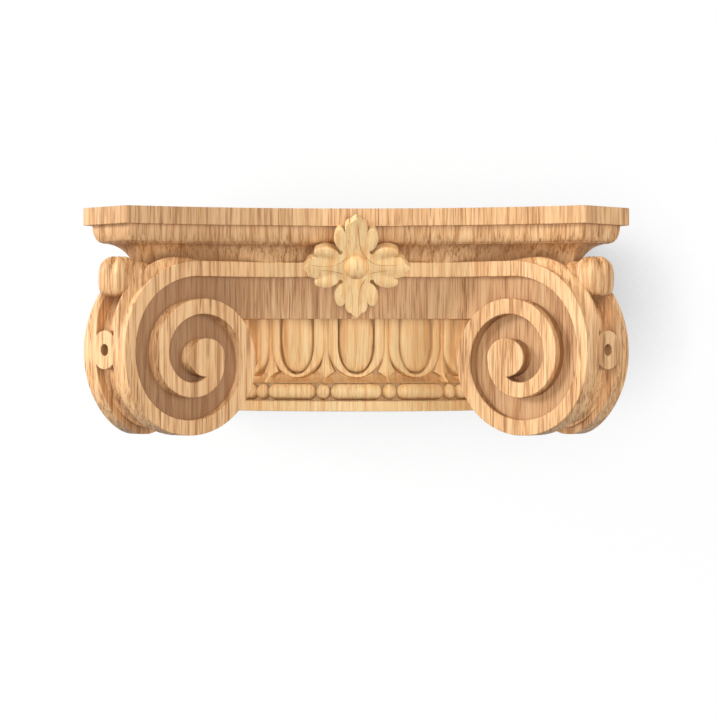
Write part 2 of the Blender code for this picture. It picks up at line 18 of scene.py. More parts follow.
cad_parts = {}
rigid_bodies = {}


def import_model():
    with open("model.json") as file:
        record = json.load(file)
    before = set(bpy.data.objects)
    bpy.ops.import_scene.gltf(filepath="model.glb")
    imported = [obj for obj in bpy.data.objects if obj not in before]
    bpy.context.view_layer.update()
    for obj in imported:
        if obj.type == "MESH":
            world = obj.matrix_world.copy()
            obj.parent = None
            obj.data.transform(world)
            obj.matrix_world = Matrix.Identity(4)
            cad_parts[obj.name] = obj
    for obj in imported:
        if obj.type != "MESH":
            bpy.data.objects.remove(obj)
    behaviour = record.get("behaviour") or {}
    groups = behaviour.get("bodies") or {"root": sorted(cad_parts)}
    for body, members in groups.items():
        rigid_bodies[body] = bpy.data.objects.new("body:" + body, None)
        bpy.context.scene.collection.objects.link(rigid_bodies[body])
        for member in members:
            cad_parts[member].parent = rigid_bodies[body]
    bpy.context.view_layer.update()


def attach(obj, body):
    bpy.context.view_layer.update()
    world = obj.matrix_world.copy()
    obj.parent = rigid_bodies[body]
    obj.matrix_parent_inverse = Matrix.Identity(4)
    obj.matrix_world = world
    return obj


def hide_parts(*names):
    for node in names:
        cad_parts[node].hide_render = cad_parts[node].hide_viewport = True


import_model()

bl_info = {
    "name": "Oak Ionic Half Capital",
    "version": (1, 0, 0),
    "blender": (4, 5, 0),
    "location": "View3D > Sidebar > Capital",
    "description": "Carves an oak half capital with diagonal volutes and sets it before a pale wall",
    "category": "Add Mesh",
}

MM = 0.001
ROOT_HALF = math.sqrt(0.5)
CARVING = "carving"


def length(name, description, millimetres):
    """A length in the add-on's settings, given in millimetres."""
    return FloatProperty(
        name=name, description=description, default=millimetres * MM,
        subtype="DISTANCE", unit="LENGTH", precision=5)


def angle(name, description, degrees):
    """An angle in the add-on's settings, given in degrees."""
    return FloatProperty(
        name=name, description=description, default=math.radians(degrees),
        subtype="ANGLE", unit="ROTATION")


def colour(name, description, rgb):
    """A colour in the add-on's settings."""
    return FloatVectorProperty(
        name=name, description=description, default=rgb, subtype="COLOR", size=3, min=0.0, max=1.0)


class CAPITAL_PG_abacus(bpy.types.PropertyGroup):
    """Sizes of the moulded top slab."""
    half_width: length("Half width", "From the axis to the tips of the corners", 160.0)
    corner_cut: length("Corner cut", "How much each corner is cut back along the sides", 28.0)
    hollow: length("Hollow", "How far the middle of a side lies behind its tips", 31.9)
    top: length("Top", "Height of the top over the volutes' lowest point", 133.4)
    fascia: length("Fascia", "Height of the plain top member", 10.3)
    fascia_step: length("Fascia step", "Setback under the fascia", 4.3)
    ovolo_out: length("Ovolo reach", "Reach of the convex member", 4.5)
    ovolo: length("Ovolo", "Height of the convex member", 9.7)
    cavetto_out: length("Cavetto reach", "Reach of the hollow member", 15.0)
    cavetto: length("Cavetto", "Height of the hollow member", 17.0)
    arris: length("Arris", "Radius of the eased edges", 0.45)


class CAPITAL_PG_band(bpy.types.PropertyGroup):
    """Line of the raised band in plan and its section."""
    forward: length("Forward", "Distance of the band's middle from the wall", 109.1)
    flat: length("Flat", "Half length of the straight middle", 45.7)
    ease_radius: length("Ease radius", "Radius of the first bend in plan", 29.8)
    turn: angle("Turn", "Turn of the volute's face out of the wall's direction", 29.5)
    run: length("Run", "Straight length after the first bend", 55.3)
    flare_radius: length("Flare radius", "Radius of the bend to the corner", 98.2)
    corner_turn: angle("Corner turn", "Turn of the face at the corner", 48.0)
    width: length("Width", "Width of the band on the face", 9.1)
    channel: length("Channel depth", "Depth of the channel inside the band", 4.1)
    strip: length("Rim strip", "Depth of the rim behind the face", 11.0)
    arris: length("Arris", "Radius of the band's eased edges", 0.55)


class CAPITAL_PG_volute(bpy.types.PropertyGroup):
    """Sizes of the volutes, their rims, buttons and buds."""
    eye_height: length("Eye height", "Height of the eye over the lowest point", 45.7)
    eye_out: length("Eye distance", "Distance of the eye out along the diagonal", 154.3)
    eye_radius: length("Eye radius", "Radius of the eye", 11.4)
    eye_lift: length("Eye lift", "How far the eye stands before the band", 2.5)
    top: length("Spiral top", "Radius of the spiral at its top", 56.9)
    drop: length("Spiral drop", "Loss of radius in one turn", 22.4)
    shift: length("Spiral shift", "Spiral centre's distance out from the eye", 5.6)
    squash: FloatProperty(
        name="Squash", description="Width of the spiral as a share of its height", default=0.92)
    end: angle("End", "Turn at which the band has run into the eye", 640.0)
    inner_lift: length("Inner lift", "How far the second turn stands before the first", 3.2)
    groove: length("Groove depth", "Depth of the groove between two rims", 6.6)
    ridge: length("Ridge", "Height of the ridge that runs from the band to the bud", 5.0)
    button: length("Button radius", "Radius of the drilled button", 11.4)
    button_hole: length("Button hole", "Radius of the hole in the button", 3.4)
    button_height: length("Button height", "Height of the button's middle", 50.1)
    button_width: length("Button width", "Width of the button between the rims", 17.6)
    bud: length("Bud radius", "Radius of the bud", 11.8)
    bud_out: length("Bud distance", "Distance of the bud out along the diagonal", 196.5)
    bud_height: length("Bud height", "Height of the bud's middle", 93.6)
    bud_lobes: IntProperty(name="Bud lobes", description="Lobes round the bud", default=6)


class CAPITAL_PG_drum(bpy.types.PropertyGroup):
    """Sizes of the frieze, egg band, beads and neck."""
    frieze_bottom: length("Frieze bottom", "Height of the frieze's lower edge", 68.9)
    neck_bottom: length("Neck bottom", "Height of the neck's underside", 13.5)
    neck_top: length("Neck top", "Height of the neck's upper edge", 19.8)
    neck_radius: length("Neck radius", "Radius of the neck", 105.6)
    bead_height: length("Bead height", "Height of the beads' middle", 25.1)
    bead_radius: length("Bead radius", "Radius of the beads", 4.8)
    bead_groove: length("Bead groove", "Radius of the wall behind the beads", 98.4)
    cove_bottom: length("Cove bottom", "Height of the cove's lower edge", 30.4)
    cove_top: length("Cove top", "Height at which the cove meets the egg band", 36.0)
    cove_radius: length("Cove radius", "Radius of the cove's lower edge", 101.5)
    ground: length("Ground radius", "Radius of the wall behind the eggs", 89.0)
    core: length("Core radius", "Radius of the plain drum inside", 82.0)
    band_end: angle("Band end", "Turn at which the egg band stops at a horn", 41.8)
    eggs: IntProperty(name="Eggs", description="Eggs round a whole drum", default=16)
    egg_radius: length("Egg reach", "Radius of the drum at the eggs' crests", 98.0)
    egg_half_width: length("Egg half width", "Half width of an egg", 11.2)
    egg_centre: length("Egg centre", "Height of the eggs' widest place", 60.0)
    egg_half_height: length("Egg half height", "Half height of an egg", 23.6)
    shell_radius: length("Shell reach", "Radius of the drum at the shells' crests", 95.6)
    shell_outer: length("Shell outer", "Half width of a shell outside", 18.2)
    shell_inner: length("Shell inner", "Half width of a shell inside", 11.4)
    shell_bottom: length("Shell bottom", "Height of a shell's lowest point", 33.2)
    dart_radius: length("Dart reach", "Radius of the drum at the darts' ridges", 94.0)
    pill: length("Pill length", "Length of the long beads", 32.3)
    bead: length("Bead length", "Length of the round beads", 9.2)


class CAPITAL_PG_rosette(bpy.types.PropertyGroup):
    """Sizes of the rosette."""
    height: length("Height", "Height of the rosette's middle", 99.5)
    forward: length("Forward", "Distance of the rosette's middle from the wall", 121.5)
    lean: angle("Lean", "How far the rosette's top leans forward", 24.5)
    leaf: length("Leaf length", "Length of a leaf from the middle", 32.0)
    thick: length("Thickness", "Thickness of the leaves at their edge", 6.5)
    curl: length("Curl", "How far the leaves' tips curl forward", 2.6)
    boss: length("Boss radius", "Radius of the round boss", 7.4)
    boss_rise: length("Boss rise", "Height of the boss", 5.8)
    vein: length("Vein width", "Width of the incised veins", 0.7)


class CAPITAL_PG_oak(bpy.types.PropertyGroup):
    """Colours and roughness of the oak, and the colours of its painted shade and painted light."""
    light: colour("Light wood", "Colour of the late wood", (0.92, 0.590, 0.300))
    middle: colour("Middle wood", "Colour between the growth bands", (0.74, 0.400, 0.168))
    dark: colour("Dark wood", "Colour of the porous growth bands", (0.50, 0.24, 0.088))
    pore: colour("Pores", "Colour of the long pores", (0.31, 0.125, 0.042))
    # This colour is painted shade, laid on the channels, creases and recesses where shade falls.
    recess: colour("Recesses", "Colour of dirt and old oil in the recesses", (0.20, 0.082, 0.028))
    # This colour is painted light, laid on the eggs, beads, leaves, cove and top band to brighten them.
    raised: colour("Raised", "Colour added to the eggs, beads and leaves", (0.80, 0.37, 0.13))
    roughness: FloatProperty(
        name="Roughness", description="Roughness of the oiled surface", default=0.5, subtype="FACTOR")


class CAPITAL_PG_stage(bpy.types.PropertyGroup):
    """Light, camera and backdrop."""
    lens: FloatProperty(name="Lens", description="Focal length in mm", default=120.67)
    camera_side: length("Camera to the side", "Camera's distance from the middle", 1.0)
    camera_away: length("Camera distance", "Camera's distance from the wall", 1539.6)
    camera_height: length("Camera height", "Camera's height over the middle", -28.0)
    key: FloatProperty(name="Key light", description="Power of the key light in W", default=87.0)
    key_shadow: FloatProperty(
        name="Key shadow", description="Share of the key light that casts shadows", default=0.75)
    front: FloatProperty(name="Front light", description="Power of the front light in W", default=46.0)
    fill: FloatProperty(name="Fill light", description="Power of the right light in W", default=23.0)
    room: FloatProperty(name="Room light", description="Strength of the even light", default=0.24)
    wall: colour("Wall", "Colour of the backdrop", (1.0, 1.0, 1.0))
    wall_glow: FloatProperty(name="Wall glow", description="Brightness of the backdrop", default=0.93)
    wall_matt: FloatProperty(name="Wall matt", description="Light that it throws back", default=0.07)
    shadow: colour("Shadow", "Colour of the backdrop beside the capital", (0.50, 0.50, 0.51))
    shadow_reach: length("Shadow reach", "How far from the capital its shadow shows", 126.0)


SETTINGS = {kind.__name__.removeprefix("CAPITAL_PG_"): kind for kind in (
    CAPITAL_PG_abacus,
    CAPITAL_PG_band,
    CAPITAL_PG_volute,
    CAPITAL_PG_drum,
    CAPITAL_PG_rosette,
    CAPITAL_PG_oak,
    CAPITAL_PG_stage,
)}


def settings(group):
    """The scene's settings of one group."""
    return getattr(bpy.context.scene, "capital_" + group)


def ease(value):
    """Smooth step from 0 to 1."""
    value = min(1.0, max(0.0, value))
    return value * value * (3 - 2 * value)


# Carving

# How far shapes run past the wall before they are cut there
OVERRUN = 4.0 * MM
# Points nearer to each other than this are one point
CLOSE = 0.01 * MM
SPIRAL_STEP = math.radians(5.0)
DRUM_STEPS = 180
ROUND_STEPS = 48
# Shares (in, back) of an eased edge, from the face to the flank
EASED = [(1 - math.sin(math.pi / 2 * i / 3), 1 - math.cos(math.pi / 2 * i / 3)) for i in range(4)]


def circle(count=ROUND_STEPS):
    """Sine and cosine of the turns round a circle."""
    turns = [2 * math.pi * i / count for i in range(count)]
    return [(math.sin(turn), math.cos(turn)) for turn in turns]


def closed_piece(name, bm):
    """Make an object of a closed bmesh, with its faces pointing out, among the carving."""
    bmesh.ops.remove_doubles(bm, verts=bm.verts, dist=CLOSE)
    bmesh.ops.recalc_face_normals(bm, faces=bm.faces)
    if bm.calc_volume(signed=True) < 0:
        bmesh.ops.reverse_faces(bm, faces=bm.faces)
    mesh = bpy.data.meshes.new(name)
    bm.to_mesh(mesh)
    bm.free()
    piece = bpy.data.objects.new(name, mesh)
    bpy.data.collections[CARVING].objects.link(piece)
    return piece


def sweep(name, sections):
    """A solid swept from section to section, each with the same number of points."""
    bm = bmesh.new()
    verts = [bm.verts.new(point) for point in sections[0]]
    edges = [bm.edges.new((verts[i - 1], verts[i])) for i in range(len(verts))]
    bmesh.ops.contextual_create(bm, geom=edges)
    for section in sections[1:]:
        made = bmesh.ops.extrude_edge_only(bm, edges=edges)["geom"]
        fresh = {item for item in made if isinstance(item, bmesh.types.BMVert)}
        ends = []
        for vert in verts:
            ends.append(next(e.other_vert(vert) for e in vert.link_edges if e.other_vert(vert) in fresh))
        verts = ends
        for vert, point in zip(verts, section):
            vert.co = point
        edges = [bm.edges.get((verts[i - 1], verts[i])) for i in range(len(verts))]
    bmesh.ops.contextual_create(bm, geom=edges)
    return closed_piece(name, bm)


def slab(name, outline, low, high):
    """A plan outline raised from one height to another."""
    bm = bmesh.new()
    verts = [bm.verts.new((x, y, low)) for x, y in outline]
    edges = [bm.edges.new((verts[i - 1], verts[i])) for i in range(len(verts))]
    bmesh.ops.contextual_create(bm, geom=edges)
    made = bmesh.ops.extrude_face_region(bm, geom=bm.faces[:])["geom"]
    raised = [item for item in made if isinstance(item, bmesh.types.BMVert)]
    bmesh.ops.translate(bm, vec=(0.0, 0.0, high - low), verts=raised)
    return closed_piece(name, bm)


def turned(name, profile, first=0.0, last=2 * math.pi):
    """A profile (radius, height) turned about the axis, all the way or between two angles."""
    bm = bmesh.new()
    verts = [bm.verts.new((r * math.sin(first), -r * math.cos(first), z)) for r, z in profile]
    whole = last - first >= 2 * math.pi
    loop = verts if whole else verts + verts[:1]
    edges = [bm.edges.new(pair) for pair in zip(loop, loop[1:])]
    steps = max(4, math.ceil(DRUM_STEPS * (last - first) / (2 * math.pi)))
    bmesh.ops.spin(
        bm, geom=verts + edges, axis=(0, 0, 1), cent=(0, 0, 0),
        angle=last - first, steps=steps, use_merge=whole)
    bmesh.ops.remove_doubles(bm, verts=bm.verts, dist=CLOSE)
    if not whole:
        bmesh.ops.holes_fill(bm, edges=[e for e in bm.edges if e.is_boundary], sides=0)
    return closed_piece(name, bm)


def combine(body, pieces, operation):
    """Join pieces to a body, or cut or trim it with them, and take the pieces away."""
    helpers = bpy.data.collections.new("helpers")
    bpy.context.scene.collection.children.link(helpers)
    for piece in pieces:
        bpy.data.collections[CARVING].objects.unlink(piece)
        helpers.objects.link(piece)
    modifier = body.modifiers.new("carve", "BOOLEAN")
    modifier.operation = operation
    modifier.solver = "MANIFOLD"
    modifier.operand_type = "COLLECTION"
    modifier.collection = helpers
    result = body.evaluated_get(bpy.context.evaluated_depsgraph_get())
    mesh = bpy.data.meshes.new_from_object(result)
    body.modifiers.remove(modifier)
    body.data = mesh
    for piece in pieces:
        bpy.data.objects.remove(piece)
    bpy.data.collections.remove(helpers)


def band_line(run, inset=0.0):
    """Plan point (across, forward) on the band's line, at a run from the middle of the front."""
    band = settings("band")
    across, forward, turn = min(run, band.flat), band.forward, 0.0
    rest = run - band.flat
    for radius, first, last, reach in (
        (band.ease_radius, 0.0, band.turn, band.ease_radius * band.turn),
        (None, band.turn, band.turn, band.run),
        (band.flare_radius, band.turn, band.corner_turn,
         band.flare_radius * (band.corner_turn - band.turn)),
        (None, band.corner_turn, band.corner_turn, math.inf),
    ):
        if rest <= 0:
            break
        part = min(rest, reach)
        if radius:
            turn = first + (last - first) * part / reach
            across += radius * (math.sin(turn) - math.sin(first))
            forward += radius * (math.cos(first) - math.cos(turn))
        else:
            turn = first
            across += part * math.cos(turn)
            forward += part * math.sin(turn)
        rest -= part
    return across + inset * math.sin(turn), forward - inset * math.cos(turn)


TABLE_STEP = 0.2 * MM


class BandTable:
    """The band's line measured once, to look up its points by distance out on the diagonal."""

    def __init__(self):
        self.rows = []
        for i in range(1201):
            across, forward = band_line(i * TABLE_STEP)
            self.rows.append(((across + forward) * ROOT_HALF, across, forward))

    def at(self, out):
        """Plan point at a distance out along the corner's diagonal."""
        low, high = 0, len(self.rows) - 1
        while high - low > 1:
            middle = (low + high) // 2
            if self.rows[middle][0] < out:
                low = middle
            else:
                high = middle
        first, second = self.rows[low], self.rows[high]
        share = (out - first[0]) / (second[0] - first[0])
        return tuple(a + (b - a) * share for a, b in zip(first[1:], second[1:]))


def spiral(turn, inset=0.0):
    """Point (out along the diagonal, height) on the volute's spiral, from its top outwards."""
    volute = settings("volute")
    radius = volute.top - volute.drop * turn / (2 * math.pi) - inset
    return (
        volute.eye_out + volute.shift + volute.squash * radius * math.sin(turn),
        max(0.0, volute.eye_height + radius * math.cos(turn)),
    )


def placed(side, on_side, across, forward, height):
    """A quarter-plan point on the left (-1) or right (1), on the front or turned to the side."""
    if on_side:
        across, forward = forward, across
    return Vector((side * across, -forward, height))


def offset_point(plan, depth, lean):
    """Move a plan point back from the face: straight back at lean 0, to the diagonal at 1."""
    direction = Vector((lean * ROOT_HALF, -(1 - lean) - lean * ROOT_HALF)).normalized()
    return plan[0] + direction.x * depth, plan[1] + direction.y * depth


def carve_abacus():
    """The moulded top slab, hollow on each side, with its corners cut off."""
    size = settings("abacus")
    half_chord = size.half_width - size.corner_cut
    curve = (half_chord ** 2 + size.hollow ** 2) / (2 * size.hollow)
    centre = size.half_width - size.hollow + curve
    diagonal = half_chord + size.half_width
    steps = 40

    def edge(recess):
        radius = curve + recess
        line = diagonal - recess / ROOT_HALF
        # The arc and the cut corner meet where across + forward is the diagonal's value
        half = (line - centre) / 2
        across = half + math.sqrt(radius ** 2 / 2 - half ** 2)
        limit = math.asin(across / radius)

        def arc(turn):
            return radius * math.sin(turn), centre - radius * math.cos(turn)

        start = -math.asin((OVERRUN + recess / 2) / radius)
        flank = [arc(start + (limit - start) * i / steps) for i in range(steps + 1)]
        front = [arc(limit * (2 * i / steps - 1)) for i in range(steps + 1)]
        ring = [(-forward, -across) for across, forward in flank]
        ring += [(across, -forward) for across, forward in front]
        ring += [(forward, -across) for across, forward in reversed(flank)]
        return ring

    fascia_bottom = size.top - size.fascia
    profile = [(size.arris * a, size.top - size.arris * b) for b, a in EASED[::-1]]
    profile += [(size.arris * b, fascia_bottom + size.arris * a) for a, b in EASED]
    profile.append((size.fascia_step, fascia_bottom))
    quirk, ovolo_steps, cavetto_steps = 0.4 * MM, 10, 14
    for i in range(ovolo_steps + 1):
        turn = math.pi / 2 * i / ovolo_steps
        profile.append((
            size.fascia_step + size.ovolo_out * (1 - math.cos(turn)),
            fascia_bottom - quirk - size.ovolo * math.sin(turn),
        ))
    recess, height = profile[-1]
    recess += quirk
    height -= quirk
    for i in range(cavetto_steps + 1):
        turn = math.pi / 2 * i / cavetto_steps
        profile.append((
            recess + size.cavetto_out * math.sin(turn),
            height - size.cavetto * (1 - math.cos(turn)),
        ))
    return sweep("abacus", [[Vector((x, y, z)) for x, y in edge(d)] for d, z in profile])


def carve_floor_limit():
    """The plan of the channel's floor, on the front and sides and across the corners."""
    band = settings("band")
    ease_run, ease_steps = band.ease_radius * band.turn, 10
    flare_run, flare_steps = band.flare_radius * (band.corner_turn - band.turn), 16
    runs = [band.flat + ease_run * i / ease_steps for i in range(ease_steps + 1)]
    straight_end = runs[-1] + band.run
    runs += [straight_end + flare_run * i / flare_steps for i in range(flare_steps + 1)]
    runs.append(runs[-1] + settings("abacus").corner_cut)
    points = [band_line(run, band.channel) for run in runs]
    flank = [(-band.forward + band.channel, 1.8 * OVERRUN)]
    flank += [(-forward, -across) for across, forward in points]
    front = [(-across, -forward) for across, forward in reversed(points)]
    right = [(-x, y) for x, y in reversed(flank + front)]
    return slab("floor_limit", flank + front + right, -OVERRUN, settings("abacus").top)


def carve_horn(side):
    """The body of one corner's volutes, with the hollow groove between its two rims."""
    size = settings("volute")
    reach = settings("abacus").half_width / 3
    # Half the groove's width, a little under the rims' strips
    half = size.button_width / 2 - 0.6 * MM
    hollow_steps, round_steps = 16, 96
    stations = [(-reach, 0.0), (-half, 0.0)]
    for i in range(1, hollow_steps):
        turn = math.pi * i / hollow_steps
        stations.append((-half * math.cos(turn), math.sin(turn)))
    stations += [(half, 0.0), (reach, 0.0)]
    # The groove's depth at its edges and what its hollow adds, as shares
    at_edge, in_hollow = 0.62, 0.38
    sections = []
    for depth, share in stations:
        inset = size.groove * (at_edge + in_hollow * share ** 0.6)
        section = []
        for i in range(round_steps + 1):
            out, height = spiral(2 * math.pi * i / round_steps, inset)
            section.append(placed(
                side, False, (out - depth) * ROOT_HALF, (out + depth) * ROOT_HALF, height))
        sections.append(section)
    return sweep("horn", sections)


def carve_block():
    """The block behind the frieze and between the horns."""
    # Half width, reach along the diagonal and top, all hidden behind the carving
    half, out, top = 142.0 * MM, 167.0 * MM, 98.5 * MM
    corner = out / ROOT_HALF - half
    outline = [(corner, -half), (half, -corner), (half, 2.3 * OVERRUN)]
    outline += [(-x, y) for x, y in reversed(outline)]
    return slab("block", outline, settings("drum").frieze_bottom, top)


def ridge_height(turn):
    """How high the rim's ridge stands, rising over the volute to the bud."""
    start, top, end, foot = (math.radians(turn) for turn in (-16.0, 18.0, 58.0, 78.0))
    rise = ease((turn - start) / (top - start)) * (1 - ease((turn - end) / (foot - end)))
    return settings("volute").ridge * rise


def ridge_share(strip):
    """The ridge's section: its height as a share, over the strip from the face to the groove."""
    rise = ease((strip - 0.32) / 0.40)
    fall = 0.35 * ease((strip - 0.78) / 0.22)
    sink = 0.12 * ease(strip / 0.2)
    return rise * (1 - fall) - sink


def band_section(table, turn, top_run=None):
    """The points round the band at one turn of the spiral, or along the straight top."""
    band, volute = settings("band"), settings("volute")
    lift = volute.inner_lift * ease((turn - math.pi) / math.pi)
    # Where the band runs into the eye it comes down to just under the eye's face
    settle = ease((turn - math.radians(400.0)) / math.radians(150.0))
    under_eye = 0.04 * MM
    lift += (volute.eye_lift - under_eye - lift) * settle
    normal = Vector((math.sin(turn), math.cos(turn)))
    ridge = ridge_height(turn if top_run is None else top_run[1])

    def point(inset, depth, rise):
        if top_run is None:
            out, height = spiral(turn, inset)
            plan = table.at(out + normal.x * rise)
            across, forward = offset_point(plan, depth - lift, 1.0)
            return across, forward, height + normal.y * rise
        across, forward = offset_point(top_run[0], depth, top_run[2])
        return across, forward, volute.eye_height + volute.top - inset + rise

    section = [point(band.arris * a, band.arris * b, 0.0) for a, b in EASED]
    strips = 14
    for i in range(1, strips + 1):
        strip = i / strips
        depth = band.arris + (band.strip + lift - band.arris) * strip
        section.append(point(0.0, depth, ridge * ridge_share(strip)))
    section.append(point(band.width, band.strip + lift, 0.0))
    section += [point(band.width - band.arris * a, band.arris * b, 0.0) for a, b in EASED[::-1]]
    return section


def band_sections():
    """Sections of the band from the eye, round the spiral and along to the middle."""
    band, volute = settings("band"), settings("volute")
    table = BandTable()
    count = round(volute.end / SPIRAL_STEP)
    sections = [band_section(table, i * SPIRAL_STEP) for i in range(count, -1, -1)]
    start = table.at(volute.eye_out + volute.shift)[0]
    steps = 24
    for i in range(1, steps + 1):
        share = 1 - i / steps
        across = start * share
        run = across
        for _ in range(20):
            run += across - band_line(run)[0]
        plan = band_line(run)
        sections.append(band_section(table, 0.0, (plan, (across - start) / volute.top, share)))
    return sections


def carve_bands():
    """The raised bands of the front and of both sides."""
    half = band_sections()

    def placed_half(side, on_side):
        return [[placed(side, on_side, *point) for point in section] for section in half]

    sweep("front_band", placed_half(-1, False) + placed_half(1, False)[-2::-1])
    for side in (-1, 1):
        sections = placed_half(side, True)
        sections.append([point + Vector((0.0, 1.3 * OVERRUN, 0.0)) for point in sections[-1]])
        sweep("side_band", sections)


def carve_eye(side, on_side):
    """The round eye at the middle of a volute."""
    volute, band = settings("volute"), settings("band")
    table = BandTable()
    rims = [(volute.eye_radius, band.strip)]
    rims += [
        (volute.eye_radius - band.arris * a, band.arris * b - volute.eye_lift)
        for a, b in EASED[::-1]
    ]
    rims += [(share * volute.eye_radius, -volute.eye_lift) for share in (0.8, 0.6, 0.4, 0.2, 0.05)]
    sections = []
    for radius, depth in rims:
        section = []
        for sine, cosine in circle():
            across, forward = offset_point(table.at(volute.eye_out + radius * sine), depth, 1.0)
            height = volute.eye_height + radius * cosine
            section.append(placed(side, on_side, across, forward, height))
        sections.append(section)
    return sweep("eye", sections)


def corner_frame(side, out, height):
    """Axes at a corner: x out along the diagonal, y across it, z up."""
    outward = Vector((side * ROOT_HALF, -ROOT_HALF, 0.0))
    across = Vector((-side * ROOT_HALF, -ROOT_HALF, 0.0))
    matrix = Matrix((outward, across, Vector((0, 0, 1)))).transposed().to_4x4()
    matrix.translation = outward * out + Vector((0, 0, height))
    return matrix


def carve_button(side):
    """The drilled disc that fills the groove at the height of the eye."""
    size = settings("volute")
    rim = size.eye_out + size.shift + size.squash * (size.top - size.drop / 4)
    frame_matrix = corner_frame(side, rim, size.button_height)
    edge, hole_edge = 0.7 * MM, 0.4 * MM
    half = size.button_width / 2
    rims = [(size.button, -2 * size.groove)]
    rims += [(size.button - edge * a, -edge * b) for a, b in EASED[::-1]]
    rims += [(size.button_hole + hole_edge, 0.0), (size.button_hole, -hole_edge)]
    rims += [(size.button_hole, -0.8 * size.groove)]
    sections = []
    for radius, depth in rims:
        section = []
        for sine, cosine in circle():
            across = max(-half, min(half, radius * cosine))
            section.append(frame_matrix @ Vector((depth, across, radius * sine)))
        sections.append(section)
    return sweep("button", sections)


def carve_bud(side):
    """The bud under the abacus corner, lobed above and smooth below."""
    size = settings("volute")
    bm = bmesh.new()
    bmesh.ops.create_uvsphere(bm, u_segments=98, v_segments=64, radius=1.0)
    # A flat dome above and a straight flank with a flat underside below
    dome_power, flank_power = 0.80, 0.36
    # How far the creases between the lobes go in and down, and how far the top is sunk
    crease_in, crease_down, dimple, sink = 0.16, 0.22, 0.06, 0.03
    for vert in bm.verts:
        turn = math.atan2(vert.co.y, vert.co.x)
        level = math.asin(max(-1.0, min(1.0, vert.co.z)))
        power = dome_power if level > 0 else flank_power
        width = abs(math.cos(level)) ** power
        height = math.copysign(abs(math.sin(level)) ** power, level)
        crease = (0.5 - 0.5 * math.cos(size.bud_lobes * turn)) ** 1.6
        crease *= ease(0.55 + 1.2 * height) * ease((width - 0.1) / 0.5)
        reach = size.bud * width * (1 - crease_in * crease) * (1 - 0.08 * ease(-height))
        rise = height * (1 - crease_down * crease) - sink - dimple * ease((0.4 - width) / 0.4)
        vert.co = (reach * math.cos(turn), reach * math.sin(turn), size.bud * rise)
    bmesh.ops.transform(bm, matrix=corner_frame(side, size.bud_out, size.bud_height), verts=bm.verts)
    return closed_piece("bud", bm)


def carve_stalk(side):
    """The thick stalk that carries the bud out of the top of the horn."""
    size = settings("volute")
    bm = bmesh.new()
    bmesh.ops.create_uvsphere(bm, u_segments=48, v_segments=24, radius=1.0)
    reach, half_width, half_height = 17.0 * MM, 13.0 * MM, 8.5 * MM
    behind_bud, over_bud = 13.0 * MM, 0.5 * MM
    bmesh.ops.scale(bm, vec=(reach, half_width, half_height), verts=bm.verts)
    matrix = corner_frame(side, size.bud_out - behind_bud, size.bud_height + over_bud)
    bmesh.ops.transform(bm, matrix=matrix, verts=bm.verts)
    return closed_piece("stalk", bm)


def carve_neck():
    """The neck, the groove for the beads, the cove and the plain core over them."""
    size = settings("drum")
    edge, groove_edge = 0.5 * MM, 0.2 * MM
    profile = [(0.0, size.neck_bottom)]
    profile += [(size.neck_radius - edge * b, size.neck_bottom + edge * a) for a, b in EASED[::-1]]
    profile += [
        (size.neck_radius - edge * a, size.neck_top - edge * (1 - b)) for b, a in EASED[::-1]
    ]
    profile += [
        (size.bead_groove, size.neck_top + groove_edge),
        (size.bead_groove, size.cove_bottom - groove_edge),
        (size.cove_radius, size.cove_bottom),
    ]
    # The cove ends a little behind the wall of the eggs, and the core behind the frieze's edge
    inner, core_top, steps = size.ground - 1 * MM, 84.0 * MM, 8
    for i in range(1, steps + 1):
        turn = math.pi / 2 * i / steps
        profile.append((
            size.cove_radius - (size.cove_radius - inner) * math.sin(turn),
            size.cove_top - (size.cove_top - size.cove_bottom) * math.cos(turn),
        ))
    profile += [(size.core, size.cove_top), (size.core, core_top), (0.0, core_top)]
    return turned("neck", profile)


def carve_grounds():
    """The wall behind the eggs, on the front and on each side of the horns."""
    size = settings("drum")
    inner, top = size.core - OVERRUN, size.frieze_bottom + OVERRUN
    bottom = size.cove_top - 1 * MM
    profile = [(inner, bottom), (size.ground, bottom), (size.ground, top), (inner, top)]
    past = math.pi / 2 + OVERRUN / size.neck_radius
    flank = math.pi / 2 - size.band_end
    for first, last in ((-size.band_end, size.band_end), (flank, past), (-past, -flank)):
        turned("egg_ground", profile, first, last)


def on_drum(centre, width, radius, height):
    """A point on the drum, at a width along the wall from a centre angle."""
    turn = centre + width / settings("drum").egg_radius
    return Vector((radius * math.sin(turn), -radius * math.cos(turn), height))


def carve_egg(centre):
    """One egg with a pointed foot, cut off above by the frieze."""
    size = settings("drum")
    bm = bmesh.new()
    bmesh.ops.create_uvsphere(bm, u_segments=40, v_segments=28, radius=1.0)
    fullness = 2.7
    for vert in bm.verts:
        x, y, z = vert.co
        foot = 1.0
        if z < -0.01:
            # The foot is fuller than a ball's
            ball = max(0.02, math.sqrt(max(0.0, 1 - z * z)))
            foot = min(1.6, (1 - (-z) ** fullness) ** (1 / fullness) / ball)
        rise = math.copysign(min(1.0, abs(y) * foot) ** 0.55, -y)
        bulge = size.ground + (size.egg_radius - size.ground) * rise * (1 - 0.15 * ease(-z))
        vert.co = on_drum(
            centre, size.egg_half_width * x * foot, bulge,
            size.egg_centre + size.egg_half_height * z)
    return closed_piece("egg", bm)


def shell_outline(share, half_width, bottom):
    """Width and height on the shell's U, for a share from -1 to 1 round it."""
    size = settings("drum")
    top = size.frieze_bottom + OVERRUN / 2
    shoulder = size.egg_centre - 0.30 * size.egg_half_height
    # The share of the U that is round; the rest is its two straight legs
    bow = 0.6
    if abs(share) > bow:
        part = (abs(share) - bow) / (1 - bow)
        return math.copysign(half_width, share), shoulder + (top - shoulder) * part
    turn = share / bow * math.pi / 2
    return half_width * math.sin(turn), shoulder - (shoulder - bottom) * math.cos(turn)


